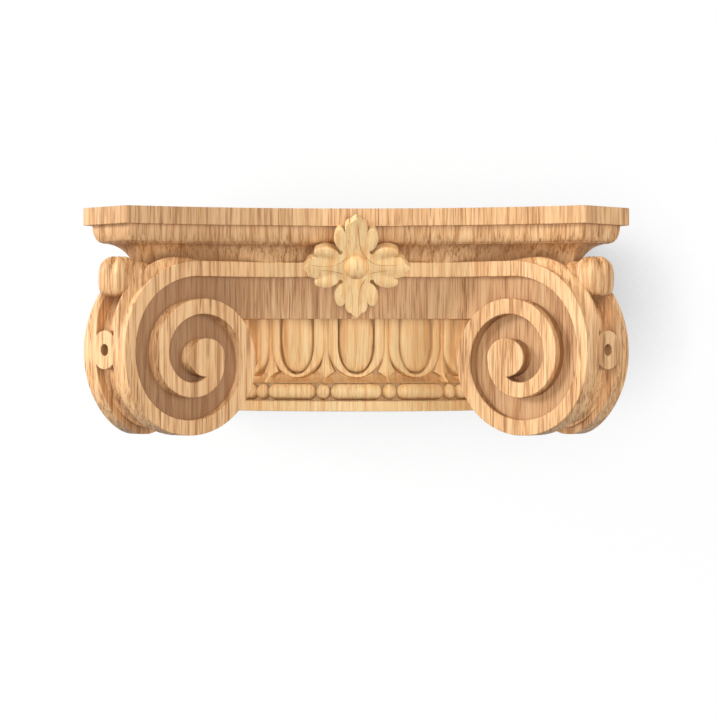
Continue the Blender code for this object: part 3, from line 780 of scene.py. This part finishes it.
# A shell's section: share of its width from outside, and mm behind its crest
SHELL_PROFILE = (
    (0.0, 3.2), (0.04, 1.9), (0.12, 0.8), (0.26, 0.15), (0.42, 0.0),
    (0.65, 0.1), (0.85, 0.35), (0.95, 0.7), (1.0, 1.4),
)
# A dart's stations below its top: height, half width and reach beyond the darts' radius, in mm
DART_STATIONS = (
    (50.0, 2.4, 0.6), (44.4, 2.6, 0.6), (40.7, 3.7, 0.9), (37.2, 5.3, 1.2),
    (35.6, 2.8, 2.2), (34.0, 0.7, 3.2), (30.9, 0.3, 6.2),
)
# A dart's section: share of its half width, and mm behind its ridge
DART_PROFILE = ((-1.0, 2.0), (-0.5, 0.8), (0.0, 0.0), (0.5, 0.8), (1.0, 2.0))


def carve_shell(centre, first=-1.0, last=1.0):
    """The raised rim round one egg, rounded outside and sloping in to the egg."""
    size = settings("drum")
    inside, foot_width = size.core + 2 * MM, 2.4 * MM
    steps = round(28 * (last - first))
    sections = []
    for i in range(steps + 1):
        share = first + (last - first) * i / steps
        outer = shell_outline(share, size.shell_outer, size.shell_bottom)
        inner = shell_outline(share, size.shell_inner, size.shell_bottom + foot_width)
        section = [on_drum(centre, outer[0], inside, outer[1])]
        for part, drop in SHELL_PROFILE:
            width = outer[0] + (inner[0] - outer[0]) * part
            height = outer[1] + (inner[1] - outer[1]) * part
            section.append(on_drum(centre, width, size.shell_radius - drop * MM, height))
        section.append(on_drum(centre, inner[0], inside, inner[1]))
        sections.append(section)
    return sweep("shell", sections)


def carve_dart(centre):
    """The ridged dart between two eggs, with its barbed point down."""
    size = settings("drum")
    inside = size.core + 1 * MM
    top = (size.frieze_bottom + OVERRUN / 2) / MM
    sections = []
    for height, half, reach in ((top, *DART_STATIONS[0][1:]), *DART_STATIONS):
        height, half, radius = height * MM, half * MM, size.dart_radius + reach * MM
        section = [on_drum(centre, -half, inside, height)]
        for part, drop in DART_PROFILE:
            section.append(on_drum(centre, half * part, radius - drop * MM, height))
        section.append(on_drum(centre, half, inside, height))
        sections.append(section)
    return sweep("dart", sections)


def carve_bead(centre, bead_length):
    """A bead with round ends along the groove, from a ball to a long pill."""
    size = settings("drum")
    axis_radius = size.neck_radius - size.bead_radius
    straight = max(0.0, bead_length / 2 - size.bead_radius)
    half_ball = min(size.bead_radius, bead_length / 2)
    profile = []
    end_steps = 8
    for i in range(end_steps + 1):
        turn = math.pi / 2 * max(0.04, i / end_steps)
        profile.append((-straight - half_ball * math.cos(turn), size.bead_radius * math.sin(turn)))
    if straight:
        profile += [(-straight * share, size.bead_radius) for share in (0.6, 0.2)]
        profile += [(-x, r) for x, r in reversed(profile)]
    else:
        profile += [(-x, r) for x, r in reversed(profile[:-1])]
    sections = []
    for along, radius in profile:
        turn = centre + along / size.neck_radius
        section = []
        for sine, cosine in circle(20):
            reach = axis_radius + radius * cosine
            height = size.bead_height + radius * sine
            section.append(Vector((reach * math.sin(turn), -reach * math.cos(turn), height)))
        sections.append(section)
    return sweep("bead", sections)


# Half of one leaf in mm, along and across it, in smooth runs that meet at its notches
LEAF_RUNS = (
    ((32.0, 0.0), (30.4, 1.8), (28.4, 3.9)),
    ((29.0, 4.4), (27.4, 5.9), (24.9, 6.7), (22.4, 6.6)),
    ((22.4, 6.6), (24.1, 7.6), (24.9, 9.2), (24.1, 11.1), (21.4, 12.6), (18.2, 13.0),
     (15.0, 12.4), (12.3, 10.9), (10.4, 9.2)),
    ((9.3, 9.1),),
)
# How far the leaves' surface stands over the rosette's plane
LEAF_LIFT = 0.6 * MM


def smooth_run(points, steps):
    """Points on a smooth curve through a run of points, without its last one."""
    if len(points) == 1:
        return [Vector(points[0])]
    padded = [points[0], *points, points[-1]]
    curve = []
    for a, b, c, d in zip(padded, padded[1:], padded[2:], padded[3:]):
        a, b, c, d = Vector(a), Vector(b), Vector(c), Vector(d)
        for i in range(steps):
            t = i / steps
            curve.append(0.5 * (
                2 * b + (c - a) * t + (2 * a - 5 * b + 4 * c - d) * t ** 2
                + (3 * b - a - 3 * c + d) * t ** 3))
    return curve


def rosette_outline():
    """The outline of the four leaves in the rosette's plane."""
    half = []
    for run in LEAF_RUNS:
        half += [Vector((across, along)) * MM for along, across in smooth_run(run, 6)]
    ring = []
    for quarter in range(4):
        # From one leaf's tip to the eye on its right, and on to the next leaf's tip
        turn = Matrix.Rotation(-math.pi / 2 * quarter, 2)
        ring += [turn @ point for point in half]
        turn = Matrix.Rotation(-math.pi / 2 * (quarter + 1), 2)
        ring += [turn @ Vector((-point.x, point.y)) for point in reversed(half[1:])]
    return ring


def leaf_rise(point):
    """Height of the leaves' surface, raised along the middles and lobes and sunk between them."""
    size = settings("rosette")
    radius = point.length
    turn = math.atan2(point.x, point.y)
    off = (turn + math.pi / 4) % (math.pi / 2) - math.pi / 4
    along, across = radius * math.cos(off), radius * abs(math.sin(off))
    middle = math.exp(-(across / (4.6 * MM)) ** 2) * ease((radius - 6 * MM) / (8 * MM))
    lobe = math.exp(-((along - 17.6 * MM) / (7.0 * MM)) ** 2 - ((across - 10.0 * MM) / (3.6 * MM)) ** 2)
    hollow = math.exp(-((across - 0.31 * along) / (1.7 * MM)) ** 2) * ease((radius - 10 * MM) / (8 * MM))
    curl = size.curl * (radius / size.leaf) ** 3
    return curl + (0.9 * middle + 1.3 * lobe - 0.3 * hollow) * MM + LEAF_LIFT


def rosette_frame():
    """The rosette's own axes: x to the right, y up its leaning face, z out of it."""
    size = settings("rosette")
    matrix = Matrix.Translation((0.0, -size.forward, size.height))
    return matrix @ Matrix.Rotation(math.pi / 2 + size.lean, 4, "X")


def carve_leaves():
    """The four leaves, their edges eased and undercut."""
    size = settings("rosette")
    matrix = rosette_frame()
    outline = rosette_outline()
    edge, rings = 0.7 * MM, 22

    def section(share, inset, sink=0.0):
        ring = []
        for point in outline:
            flat = point * share * (1 - inset / point.length)
            ring.append(matrix @ Vector((flat.x, flat.y, leaf_rise(flat) - sink)))
        return ring

    sections = [[
        matrix @ Vector((point.x, point.y, size.curl * (point.length / size.leaf) ** 3 - size.thick))
        for point in outline
    ]]
    sections += [section(1.0, edge * a, edge * b) for a, b in EASED[::-1]]
    sections += [section(1 - 0.9 * i / rings, edge) for i in range(1, rings + 1)]
    return sweep("leaves", sections)


def discs(name, matrix, sizes, count=ROUND_STEPS):
    """A solid through circles of given radius and level in a frame."""
    sections = []
    for radius, level in sizes:
        sections.append([matrix @ Vector((radius * s, radius * c, level)) for s, c in circle(count)])
    return sweep(name, sections)


def carve_boss():
    """The round boss in the middle of the rosette."""
    size = settings("rosette")
    sizes = [(size.boss, -size.thick / 2)]
    steps = 12
    for i in range(steps + 1):
        turn = math.radians(86.0) * i / steps
        sizes.append((size.boss * math.cos(turn), LEAF_LIFT + size.boss_rise * math.sin(turn)))
    return discs("boss", rosette_frame(), sizes)


def carve_plug():
    """The wood left behind the rosette, which joins it to the abacus and the frieze."""
    back_radius, front_radius, depth = 14.5 * MM, 11.6 * MM, 24.0 * MM
    sizes = [(back_radius, -depth), (front_radius, -settings("rosette").thick / 2)]
    return discs("plug", rosette_frame(), sizes)


# Incised veins in the rosette's plane, in mm to the right of and above its middle
VEINS = (
    ((0.3, 32.0), (1.4, 22.0), (1.9, 15.0), (3.4, 9.5), (7.0, 4.4), (11.0, 2.0), (17.0, 1.2), (29.0, 2.6)),
    ((-28.0, 2.4), (-21.0, 0.8), (-14.0, 0.8), (-8.6, 3.2), (-6.0, 5.6)),
    ((1.2, -31.5), (1.5, -21.0), (2.4, -13.4), (5.6, -7.2)),
    ((-21.0, -1.6), (-14.0, -2.8), (-7.0, -4.6)),
    ((19.0, -2.0), (12.0, -3.2), (7.0, -4.6)),
)


def vein_cutter(points):
    """A narrow wedge that follows a vein over the leaves."""
    matrix = rosette_frame()
    path = smooth_run(points, 8) + [Vector(points[-1])]
    path = [point * MM for point in path]
    sections = []
    for i, point in enumerate(path):
        along = path[min(i + 1, len(path) - 1)] - path[max(i - 1, 0)]
        side = Vector((-along.y, along.x)).normalized()
        taper = min(1.0, 0.25 + 6.0 * min(i, len(path) - 1 - i) / len(path))
        half = settings("rosette").vein / 2 * taper
        rise, over = leaf_rise(point), 1.5 * MM
        section = []
        for across, level in ((-half * 3.2, over), (half * 3.2, over), (0.0, -half * 1.5)):
            flat = point + side * across
            section.append(matrix @ Vector((flat.x, flat.y, rise + level)))
        sections.append(section)
    return sweep("vein", sections)


def drill_cutter(quarter):
    """A drill hole between two leaves."""
    reach, radius, over, under = 13.2 * MM, 1.35 * MM, 6.0 * MM, 4.5 * MM
    turn = Matrix.Rotation(math.pi / 4 + math.pi / 2 * quarter, 2)
    place = turn @ Vector((0.0, reach))
    matrix = rosette_frame() @ Matrix.Translation((place.x, place.y, 0.0))
    return discs("drill", matrix, [(radius, over), (radius, -under)], 20)


# Painted light and shade of the faces: below 0 painted shade toward the recesses' colour, over 0 painted
# light toward the raised one
CHANNEL_FLOOR_PAINTED_SHADE = -1.0
CHANNEL_WALL_PAINTED_SHADE = -1.6
UPPER_LEFT_PAINTED_SHADE = -0.3
BAND_PAINTED_LIGHT = 0.75
DRUM_PAINTED_LIGHTS = (1.1, 1.45)
LEAF_PAINTED_LIGHT = 1.2
COVE_PAINTED_LIGHT = 2.0


def fade(value, low, high):
    """A straight 0 to 1 where an array goes from low to high."""
    return np.clip((value - low) / (high - low), 0.0, 1.0)


def face_vectors(mesh, kind):
    """The faces' centres or normals, one row for each face."""
    values = np.empty(len(mesh.polygons) * 3)
    mesh.polygons.foreach_get(kind, values)
    return values.reshape(-1, 3)


def behind_band(across, forward, facing_across, facing):
    """Depth of quarter-plan points behind the band's line, and how far they face along its normal."""
    depth, along = np.full(len(across), -1.0), np.zeros(len(across))
    step = 2 * MM
    for i in range(90):
        first, second = band_line(i * step), band_line((i + 0.5) * step)
        turn = math.atan2(second[1] - first[1], second[0] - first[0])
        out = (-math.sin(turn), math.cos(turn))
        behind = (first[0] - across) * out[0] + (first[1] - forward) * out[1]
        nearer = behind > depth
        depth = np.where(nearer, behind, depth)
        along = np.where(nearer, facing_across * out[0] + facing * out[1], along)
    return depth, along


def mark_painted_light_and_shade(mesh):
    """Write each face's painted light and shade: painted shade in the volutes' channels and over the upper
    left, painted light on the drum, the leaves, the cove and the top band.
    """
    abacus, band, volute, drum, size = map(settings, ("abacus", "band", "volute", "drum", "rosette"))
    centres, normals = face_vectors(mesh, "center"), face_vectors(mesh, "normal")
    x, y, z = centres.T
    # Quarter plan, folded so that a side reads like the front
    across, forward = np.abs(x), -y
    facing_across, facing = np.sign(x) * normals[:, 0], -normals[:, 1]
    on_side = across > forward
    across, forward = np.where(on_side, forward, across), np.where(on_side, across, forward)
    facing_across, facing = (
        np.where(on_side, facing, facing_across), np.where(on_side, facing_across, facing))
    depth, along = behind_band(across, forward, facing_across, facing)
    radius = np.hypot(x, y)
    flush, faces_out = 0.3 * MM, along > 0.97
    tone = np.zeros(len(x))
    # Painted shade on the channels' floors
    tone[(np.abs(depth - band.channel) < flush) & faces_out] = CHANNEL_FLOOR_PAINTED_SHADE
    # Painted light on the top band's middle and right
    top_band = (np.abs(depth) < flush) & faces_out & (x > -60 * MM)
    tone = np.where(top_band, BAND_PAINTED_LIGHT * fade(np.abs(x), 85 * MM, 45 * MM), tone)
    # Painted shade over the upper part, growing toward the left
    upper = z > abacus.top - 21 * MM
    tone = np.where(upper, UPPER_LEFT_PAINTED_SHADE * fade(x, 10 * MM, -50 * MM), tone)
    # Painted shade on the channels' walls that face away from the light
    walls = (depth > 0.4 * MM) & (depth < band.channel) & (np.abs(along) < 0.4) & (normals[:, 0] > 0.25)
    eye_across = BandTable().at(volute.eye_out)[0]
    in_volute = np.hypot(across - eye_across, z - volute.eye_height) < 40 * MM
    tone[walls & in_volute & (radius > drum.neck_radius + 2 * MM)] = CHANNEL_WALL_PAINTED_SHADE
    # Painted light on the neck, beads, eggs and darts, more on the right
    on_neck = (radius < drum.neck_radius + 0.5 * MM) & (z < drum.frieze_bottom - 0.1 * MM)
    left, right = DRUM_PAINTED_LIGHTS
    tone = np.where(on_neck, left + fade(x, 0.0, 60 * MM) * (right - left), tone)
    # Painted light on the cove
    cove = (z > drum.cove_bottom) & (z < drum.cove_top) & (radius < drum.cove_radius + 0.1 * MM)
    tone[cove] = COVE_PAINTED_LIGHT
    # Painted light on the rosette's leaves
    flat = np.array(rosette_frame().inverted()) @ np.vstack((centres.T, np.ones(len(x))))
    near = (np.hypot(flat[0], flat[1]) < 1.1 * size.leaf) & (flat[2] > -size.thick)
    tone[near & (flat[2] < 3 * size.thick) & (-y > band.forward + 1 * MM)] = LEAF_PAINTED_LIGHT
    # What lies close behind the upper leaves is the abacus
    behind = (z > abacus.top - 40 * MM) & (flat[2] < -0.6 * size.thick)
    tone[near & behind] = 0.0
    mesh.attributes.new("tone", "FLOAT", "FACE").data.foreach_set("value", tone.astype(np.float32))


# Wood

class Socket:
    """A shader value: an expression on such values adds its Math nodes."""

    def __init__(self, nodes, socket):
        self.nodes = nodes
        self.socket = socket

    def math(self, operation, *inputs):
        return self.nodes.add("ShaderNodeMath", {"operation": operation}, dict(enumerate(inputs)))

    def __add__(self, other):
        return self.math("ADD", self, other)

    def __sub__(self, other):
        return self.math("SUBTRACT", self, other)

    def __rsub__(self, other):
        return self.math("SUBTRACT", other, self)

    def __mul__(self, other):
        return self.math("MULTIPLY", self, other)

    def __pow__(self, other):
        return self.math("POWER", self, other)

    __radd__ = __add__
    __rmul__ = __mul__

    def step(self, low, high):
        """A smooth 0 to 1 where the value goes from low to high."""
        return self.nodes.add("ShaderNodeMapRange", {"interpolation_type": "SMOOTHSTEP"}, {
            "Value": self, "From Min": low, "From Max": high})


class Nodes:
    """A material's nodes, added by type, settings and socket values."""

    def __init__(self, name):
        self.material = bpy.data.materials.new(name)
        self.material.use_nodes = True
        self.tree = self.material.node_tree
        self.tree.nodes.clear()

    def add(self, kind, settings_=None, values=None, output=0):
        """Add a node, and return one of its outputs."""
        node = self.tree.nodes.new(kind)
        for key, value in (settings_ or {}).items():
            setattr(node, key, value)
        for key, value in (values or {}).items():
            if isinstance(value, Socket):
                self.tree.links.new(value.socket, node.inputs[key])
            else:
                node.inputs[key].default_value = value
        if not node.outputs:
            return None
        return Socket(self, node.outputs[output])

    def mix(self, factor, first, second, blend="MIX"):
        """Mix two colours."""
        return self.add("ShaderNodeMix", {"data_type": "RGBA", "blend_type": blend}, {
            0: factor, 6: first, 7: second}, 2)

    def noise(self, vector, scale, stretch, detail=3.0, roughness=0.55):
        """Noise with cells of scale to the metre across the grain, stretched along it."""
        mapping = self.add("ShaderNodeMapping", {"vector_type": "POINT"}, {
            "Vector": vector, "Rotation": (0.3, -0.2, 0.4),
            "Scale": (scale, 0.22 * scale, scale / stretch)})
        return self.add("ShaderNodeTexNoise", None, {
            "Vector": mapping, "Scale": 1.0, "Detail": detail, "Roughness": roughness})


def oak_material():
    """Light oak with upright grain: growth bands, streaks and long pores, with painted shade in the
    recesses and channels and painted light on the drum, the leaves, the cove and the top band.
    """
    look = settings("oak")
    nodes = Nodes("oak")
    place = nodes.add("ShaderNodeTexCoord", None, None, 3)
    wander = nodes.noise(place, 9.0, 5.0, 2.0)
    ripple = nodes.noise(place, 60.0, 9.0, 2.0)
    x, y = (nodes.add("ShaderNodeSeparateXYZ", None, {0: place}, axis) for axis in (0, 1))
    # Growth bands lie round a heart behind and to the right of the block, flattened front to back
    heart_x, heart_y, flattened, bands_to_metre = 0.16, 0.20, 0.35, 180.0
    distance = ((x - heart_x) ** 2.0 + ((y - heart_y) * flattened) ** 2.0) ** 0.5
    bands = distance * bands_to_metre + wander * 8.0 + ripple * 1.2
    fraction = bands.math("FRACT", bands)
    late = fraction.step(0.0, 0.7) * (1 - fraction.step(0.84, 1.0))
    streak = nodes.noise(place, 560.0, 30.0, 3.0, 0.62)
    fine = nodes.noise(place, 1350.0, 34.0, 2.0, 0.6)
    gate = nodes.noise(place, 130.0, 8.0, 2.0)
    broad = nodes.noise(place, 38.0, 6.0, 2.0)
    # The wood between the growth bands, its streaks, its pores and broad darker patches
    dark = (1 - late) * 0.50 + (1 - streak.step(0.38, 0.62)) * 0.68
    tone = nodes.mix(dark, (*look.light, 1.0), (*look.middle, 1.0))
    deep = (1 - streak.step(0.36, 0.50)) * (1 - late * 0.45)
    tone = nodes.mix(deep, tone, (*look.dark, 1.0))
    pores = (1 - fine.step(0.36, 0.49)) * (0.30 + (1 - late) * 0.45 + gate.step(0.42, 0.6) * 0.35) * 0.95
    tone = nodes.mix(pores, tone, (*look.pore, 1.0))
    tone = nodes.mix(broad.step(0.35, 0.7) * 0.22, tone, (*look.dark, 1.0))
    # Painted shade: the base colour darkens where ambient occlusion finds the surface enclosed, as in
    # recesses and creases
    recess = nodes.add("ShaderNodeAmbientOcclusion", {"samples": 8}, {"Distance": 11.0 * MM}, 1)
    # Each face's painted light (over 0) and painted shade (under 0)
    mark = nodes.add("ShaderNodeAttribute", {"attribute_name": "tone"}, None, 2)
    raised = mark.math("MAXIMUM", mark, 0.0)
    # The painted shade on the channels grows from the frieze outward, more on the left
    inner, outer = 40.0 * MM, 85.0 * MM
    outward = 0.5 + (x * -1.0).step(inner, outer) + x.step(inner, outer) * 0.35
    sunk = mark.math("MAXIMUM", mark * -1.0, 0.0) * outward
    # Painted light: the eggs, beads, leaves, cove and top band are brightened
    tone = nodes.mix(raised * 0.75, tone, (*look.raised, 1.0), "SCREEN")
    # The painted shade of the recesses is weaker where painted light is laid
    shade = (1 - recess.step(0.12, 0.84)) * (1 - raised * 0.3) * 0.84
    tone = nodes.mix(shade, tone, (*look.recess, 1.0))
    # Painted shade on the channels' floors and walls and over the upper left
    tone = nodes.mix(mark.math("MINIMUM", sunk * 0.46, 0.72), tone, (*look.recess, 1.0))
    height = fine * 0.5 + streak * 0.35 - pores * 0.9
    bump = nodes.add("ShaderNodeBump", None, {"Strength": 0.35, "Distance": 0.35 * MM, "Height": height})
    rough = (1 - pores) * 0.1 + (look.roughness - 0.05) + (1 - streak) * 0.08
    shader = nodes.add("ShaderNodeBsdfPrincipled", None, {
        "Base Color": tone, "Roughness": rough, "Normal": bump, "Specular IOR Level": 0.4})
    nodes.add("ShaderNodeOutputMaterial", None, {"Surface": shader})
    return nodes.material


def stage_material():
    """Pale wall, white but for a faint shadow beside the capital, that shows from its front only."""
    nodes = Nodes("pale_wall")
    look = settings("stage")
    # Two looks toward the key light, up and down: only beside the capital do both meet it
    looks = []
    for tilt in (-0.5, 0.5):
        toward = nodes.add("ShaderNodeCombineXYZ", None, {"X": -0.76, "Y": -0.42, "Z": tilt})
        looks.append(nodes.add("ShaderNodeAmbientOcclusion", {"samples": 16}, {
            "Distance": look.shadow_reach, "Normal": toward}, 1))
    near = looks[0].math("MAXIMUM", *looks)
    # From full shadow to white over the share of the look that is open
    full_shadow, no_shadow = 0.48, 0.94
    tone = nodes.mix(near.step(full_shadow, no_shadow), (*look.shadow, 1.0), (*look.wall, 1.0))
    glow = nodes.add("ShaderNodeEmission", None, {"Color": tone, "Strength": look.wall_glow})
    matt = nodes.add("ShaderNodeBsdfDiffuse", None, {"Color": (look.wall_matt,) * 3 + (1.0,)})
    wall = nodes.add("ShaderNodeAddShader", None, {0: glow, 1: matt})
    clear = nodes.add("ShaderNodeBsdfTransparent")
    behind = nodes.add("ShaderNodeNewGeometry", None, None, 6)
    surface = nodes.add("ShaderNodeMixShader", None, {0: behind, 1: wall, 2: clear})
    nodes.add("ShaderNodeOutputMaterial", None, {"Surface": surface})
    return nodes.material


# Operators

class CarveOperator:
    """What the carving operators share."""
    bl_options = {"REGISTER", "UNDO"}


class CAPITAL_OT_block(CarveOperator, bpy.types.Operator):
    """Carve the block, the horns and the abacus"""
    bl_idname = "capital.block"
    bl_label = "Block and abacus"

    def execute(self, context):
        body = carve_block()
        combine(body, [carve_horn(-1), carve_horn(1)], "UNION")
        combine(body, [carve_floor_limit()], "INTERSECT")
        carve_abacus()
        return {"FINISHED"}


class CAPITAL_OT_volutes(CarveOperator, bpy.types.Operator):
    """Carve the raised bands and the eyes of the volutes"""
    bl_idname = "capital.volutes"
    bl_label = "Volutes"

    def execute(self, context):
        carve_bands()
        for side in (-1, 1):
            for on_side in (False, True):
                carve_eye(side, on_side)
        return {"FINISHED"}


class CAPITAL_OT_corners(CarveOperator, bpy.types.Operator):
    """Carve the buttons in the grooves and the buds under the abacus"""
    bl_idname = "capital.corners"
    bl_label = "Buttons and buds"

    def execute(self, context):
        for side in (-1, 1):
            carve_button(side)
            carve_stalk(side)
            carve_bud(side)
        return {"FINISHED"}


class CAPITAL_OT_drum(CarveOperator, bpy.types.Operator):
    """Carve the neck, the beads and the egg-and-dart band"""
    bl_idname = "capital.drum"
    bl_label = "Neck and egg band"

    def execute(self, context):
        size = settings("drum")
        carve_neck()
        carve_grounds()
        pitch = 2 * math.pi / size.eggs
        for i in range(-size.eggs // 4, size.eggs // 4 + 1):
            carve_bead(i * pitch, size.pill)
            # The corner's horn stands where its egg would be, and leaves its shell's outer strips
            if abs(abs(i * pitch) - math.pi / 4) > pitch / 4:
                carve_egg(i * pitch)
                carve_shell(i * pitch)
            else:
                carve_shell(i * pitch, -1.0, -0.124)
                carve_shell(i * pitch, 0.124, 1.0)
        for i in range(-size.eggs // 4, size.eggs // 4):
            carve_dart((i + 0.5) * pitch)
            carve_bead((i + 0.5) * pitch, size.bead)
        return {"FINISHED"}


class CAPITAL_OT_rosette(CarveOperator, bpy.types.Operator):
    """Carve the leaning rosette with its veins and boss"""
    bl_idname = "capital.rosette"
    bl_label = "Rosette"

    def execute(self, context):
        leaves = carve_leaves()
        cutters = [vein_cutter(points) for points in VEINS]
        cutters += [drill_cutter(quarter) for quarter in range(4)]
        for cutter in cutters:
            combine(leaves, [cutter], "DIFFERENCE")
        carve_boss()
        carve_plug()
        return {"FINISHED"}


class CAPITAL_OT_unite(CarveOperator, bpy.types.Operator):
    """Unite the carving in one block of oak, flat at the wall"""
    bl_idname = "capital.unite"
    bl_label = "Unite and finish"

    def execute(self, context):
        carving = bpy.data.collections[CARVING]
        body = bpy.data.objects["block"]
        combine(body, [piece for piece in carving.objects if piece != body], "UNION")
        far = 2 * settings("abacus").half_width
        wall = slab("wall", [(-far, 0.0), (far, 0.0), (far, far), (-far, far)], -far, far)
        combine(body, [wall], "DIFFERENCE")
        drum = settings("drum")
        mount_height = (drum.neck_bottom + settings("abacus").top) / 2
        mesh = body.data
        bm = bmesh.new()
        bm.from_mesh(mesh)
        bmesh.ops.remove_doubles(bm, verts=bm.verts, dist=CLOSE)
        bm.to_mesh(mesh)
        bm.free()
        mark_painted_light_and_shade(mesh)
        mesh.transform(Matrix.Translation((0.0, 0.0, -mount_height)))
        body.name = mesh.name = "carved_capital"
        mesh.shade_smooth()
        mesh.set_sharp_from_angle(angle=math.radians(32.0))
        mesh.materials.clear()
        mesh.materials.append(oak_material())
        even = body.modifiers.new("even shading", "WEIGHTED_NORMAL")
        even.keep_sharp = True
        even.weight = 50
        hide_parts("capital")
        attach(body, "root")
        return {"FINISHED"}


class CAPITAL_OT_stage(CarveOperator, bpy.types.Operator):
    """Set the pale wall, the lights and the camera"""
    bl_idname = "capital.stage"
    bl_label = "Wall, lights and camera"

    def execute(self, context):
        look = settings("stage")
        self.backdrop()
        self.lights(look)
        self.camera(look)
        return {"FINISHED"}

    def backdrop(self):
        """A wall that sweeps into a floor well under the capital."""
        bm = bmesh.new()
        radius, drop, half_width, height, reach, gap = 0.5, 1.0, 6.0, 3.0, 5.0, 1.5 * MM
        profile = [(gap, height)]
        steps = 12
        for i in range(steps + 1):
            turn = math.pi / 2 * i / steps
            profile.append((gap - radius * (1 - math.cos(turn)), radius - drop - radius * math.sin(turn)))
        profile.append((-reach, -drop))
        verts = [bm.verts.new((-half_width, y, z)) for y, z in profile]
        edges = [bm.edges.new(pair) for pair in zip(verts, verts[1:])]
        made = bmesh.ops.extrude_edge_only(bm, edges=edges)["geom"]
        moved = [item for item in made if isinstance(item, bmesh.types.BMVert)]
        bmesh.ops.translate(bm, vec=(2 * half_width, 0, 0), verts=moved)
        bmesh.ops.recalc_face_normals(bm, faces=bm.faces)
        top = min(bm.faces, key=lambda face: -face.calc_center_median().z)
        if top.normal.y > 0:
            bmesh.ops.reverse_faces(bm, faces=bm.faces)
        mesh = bpy.data.meshes.new("backdrop")
        bm.to_mesh(mesh)
        bm.free()
        mesh.shade_smooth()
        mesh.materials.append(stage_material())
        backdrop = bpy.data.objects.new("backdrop", mesh)
        backdrop.visible_diffuse = False
        bpy.context.scene.collection.objects.link(backdrop)

    def lights(self, look):
        """A key light from far on the left, softer ones from the front and right, and the room."""
        from_left, middle = (-2.76, -0.74, 0.93), Vector((0.0, -0.08, 0.0))
        for name, power, size, place, shadow in (
            ("key", look.key * look.key_shadow, 0.9, from_left, True),
            ("key_wash", look.key * (1 - look.key_shadow), 0.9, from_left, False),
            ("front", look.front, 1.2, (0.0, -2.95, 0.50), False),
            ("fill", look.fill, 1.2, (2.60, -1.50, 0.30), True),
        ):
            light = bpy.data.lights.new(name, "AREA")
            light.shape = "DISK"
            light.size = size
            light.energy = power
            light.use_shadow = shadow
            lamp = bpy.data.objects.new(name, light)
            lamp.location = place
            lamp.rotation_euler = (middle - lamp.location).to_track_quat("-Z", "Y").to_euler()
            bpy.context.scene.collection.objects.link(lamp)
        world = bpy.data.worlds.new("room")
        world.use_nodes = True
        background = world.node_tree.nodes["Background"]
        background.inputs["Color"].default_value = (1.0, 1.0, 1.0, 1.0)
        background.inputs["Strength"].default_value = look.room
        bpy.context.scene.world = world
        bpy.context.scene.view_settings.view_transform = "Standard"

    def camera(self, look):
        """The camera looks straight at the wall from a little under the middle."""
        camera_data = bpy.data.cameras.new("camera")
        camera_data.lens = look.lens
        camera_data.sensor_width = 36.0
        camera = bpy.data.objects.new("camera", camera_data)
        camera.location = (look.camera_side, -look.camera_away, look.camera_height)
        camera.rotation_euler = (math.pi / 2, 0.0, 0.0)
        bpy.context.scene.collection.objects.link(camera)
        bpy.context.scene.camera = camera


class CAPITAL_PT_panel(bpy.types.Panel):
    """The capital's steps and settings"""
    bl_idname = "CAPITAL_PT_panel"
    bl_label = "Oak Ionic Half Capital"
    bl_space_type = "VIEW_3D"
    bl_region_type = "UI"
    bl_category = "Capital"

    def draw(self, context):
        for operator in OPERATORS:
            self.layout.operator(operator.bl_idname)
        for group, kind in SETTINGS.items():
            box = self.layout.box()
            box.label(text=group.capitalize())
            for key in kind.__annotations__:
                box.prop(settings(group), key)


OPERATORS = (
    CAPITAL_OT_block,
    CAPITAL_OT_volutes,
    CAPITAL_OT_corners,
    CAPITAL_OT_drum,
    CAPITAL_OT_rosette,
    CAPITAL_OT_unite,
    CAPITAL_OT_stage,
)


def register():
    """Register the settings, operators and panel."""
    for group, kind in SETTINGS.items():
        bpy.utils.register_class(kind)
        setattr(bpy.types.Scene, "capital_" + group, PointerProperty(type=kind))
    for kind in (*OPERATORS, CAPITAL_PT_panel):
        bpy.utils.register_class(kind)


def unregister():
    """Take the settings, operators and panel away."""
    for kind in (CAPITAL_PT_panel, *reversed(OPERATORS)):
        bpy.utils.unregister_class(kind)
    for group, kind in reversed(SETTINGS.items()):
        delattr(bpy.types.Scene, "capital_" + group)
        bpy.utils.unregister_class(kind)


def main():
    """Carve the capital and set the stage."""
    register()
    carving = bpy.data.collections.new(CARVING)
    bpy.context.scene.collection.children.link(carving)
    for operator in OPERATORS:
        group, name = operator.bl_idname.split(".")
        getattr(getattr(bpy.ops, group), name)()


if __name__ == "__main__":
    main()
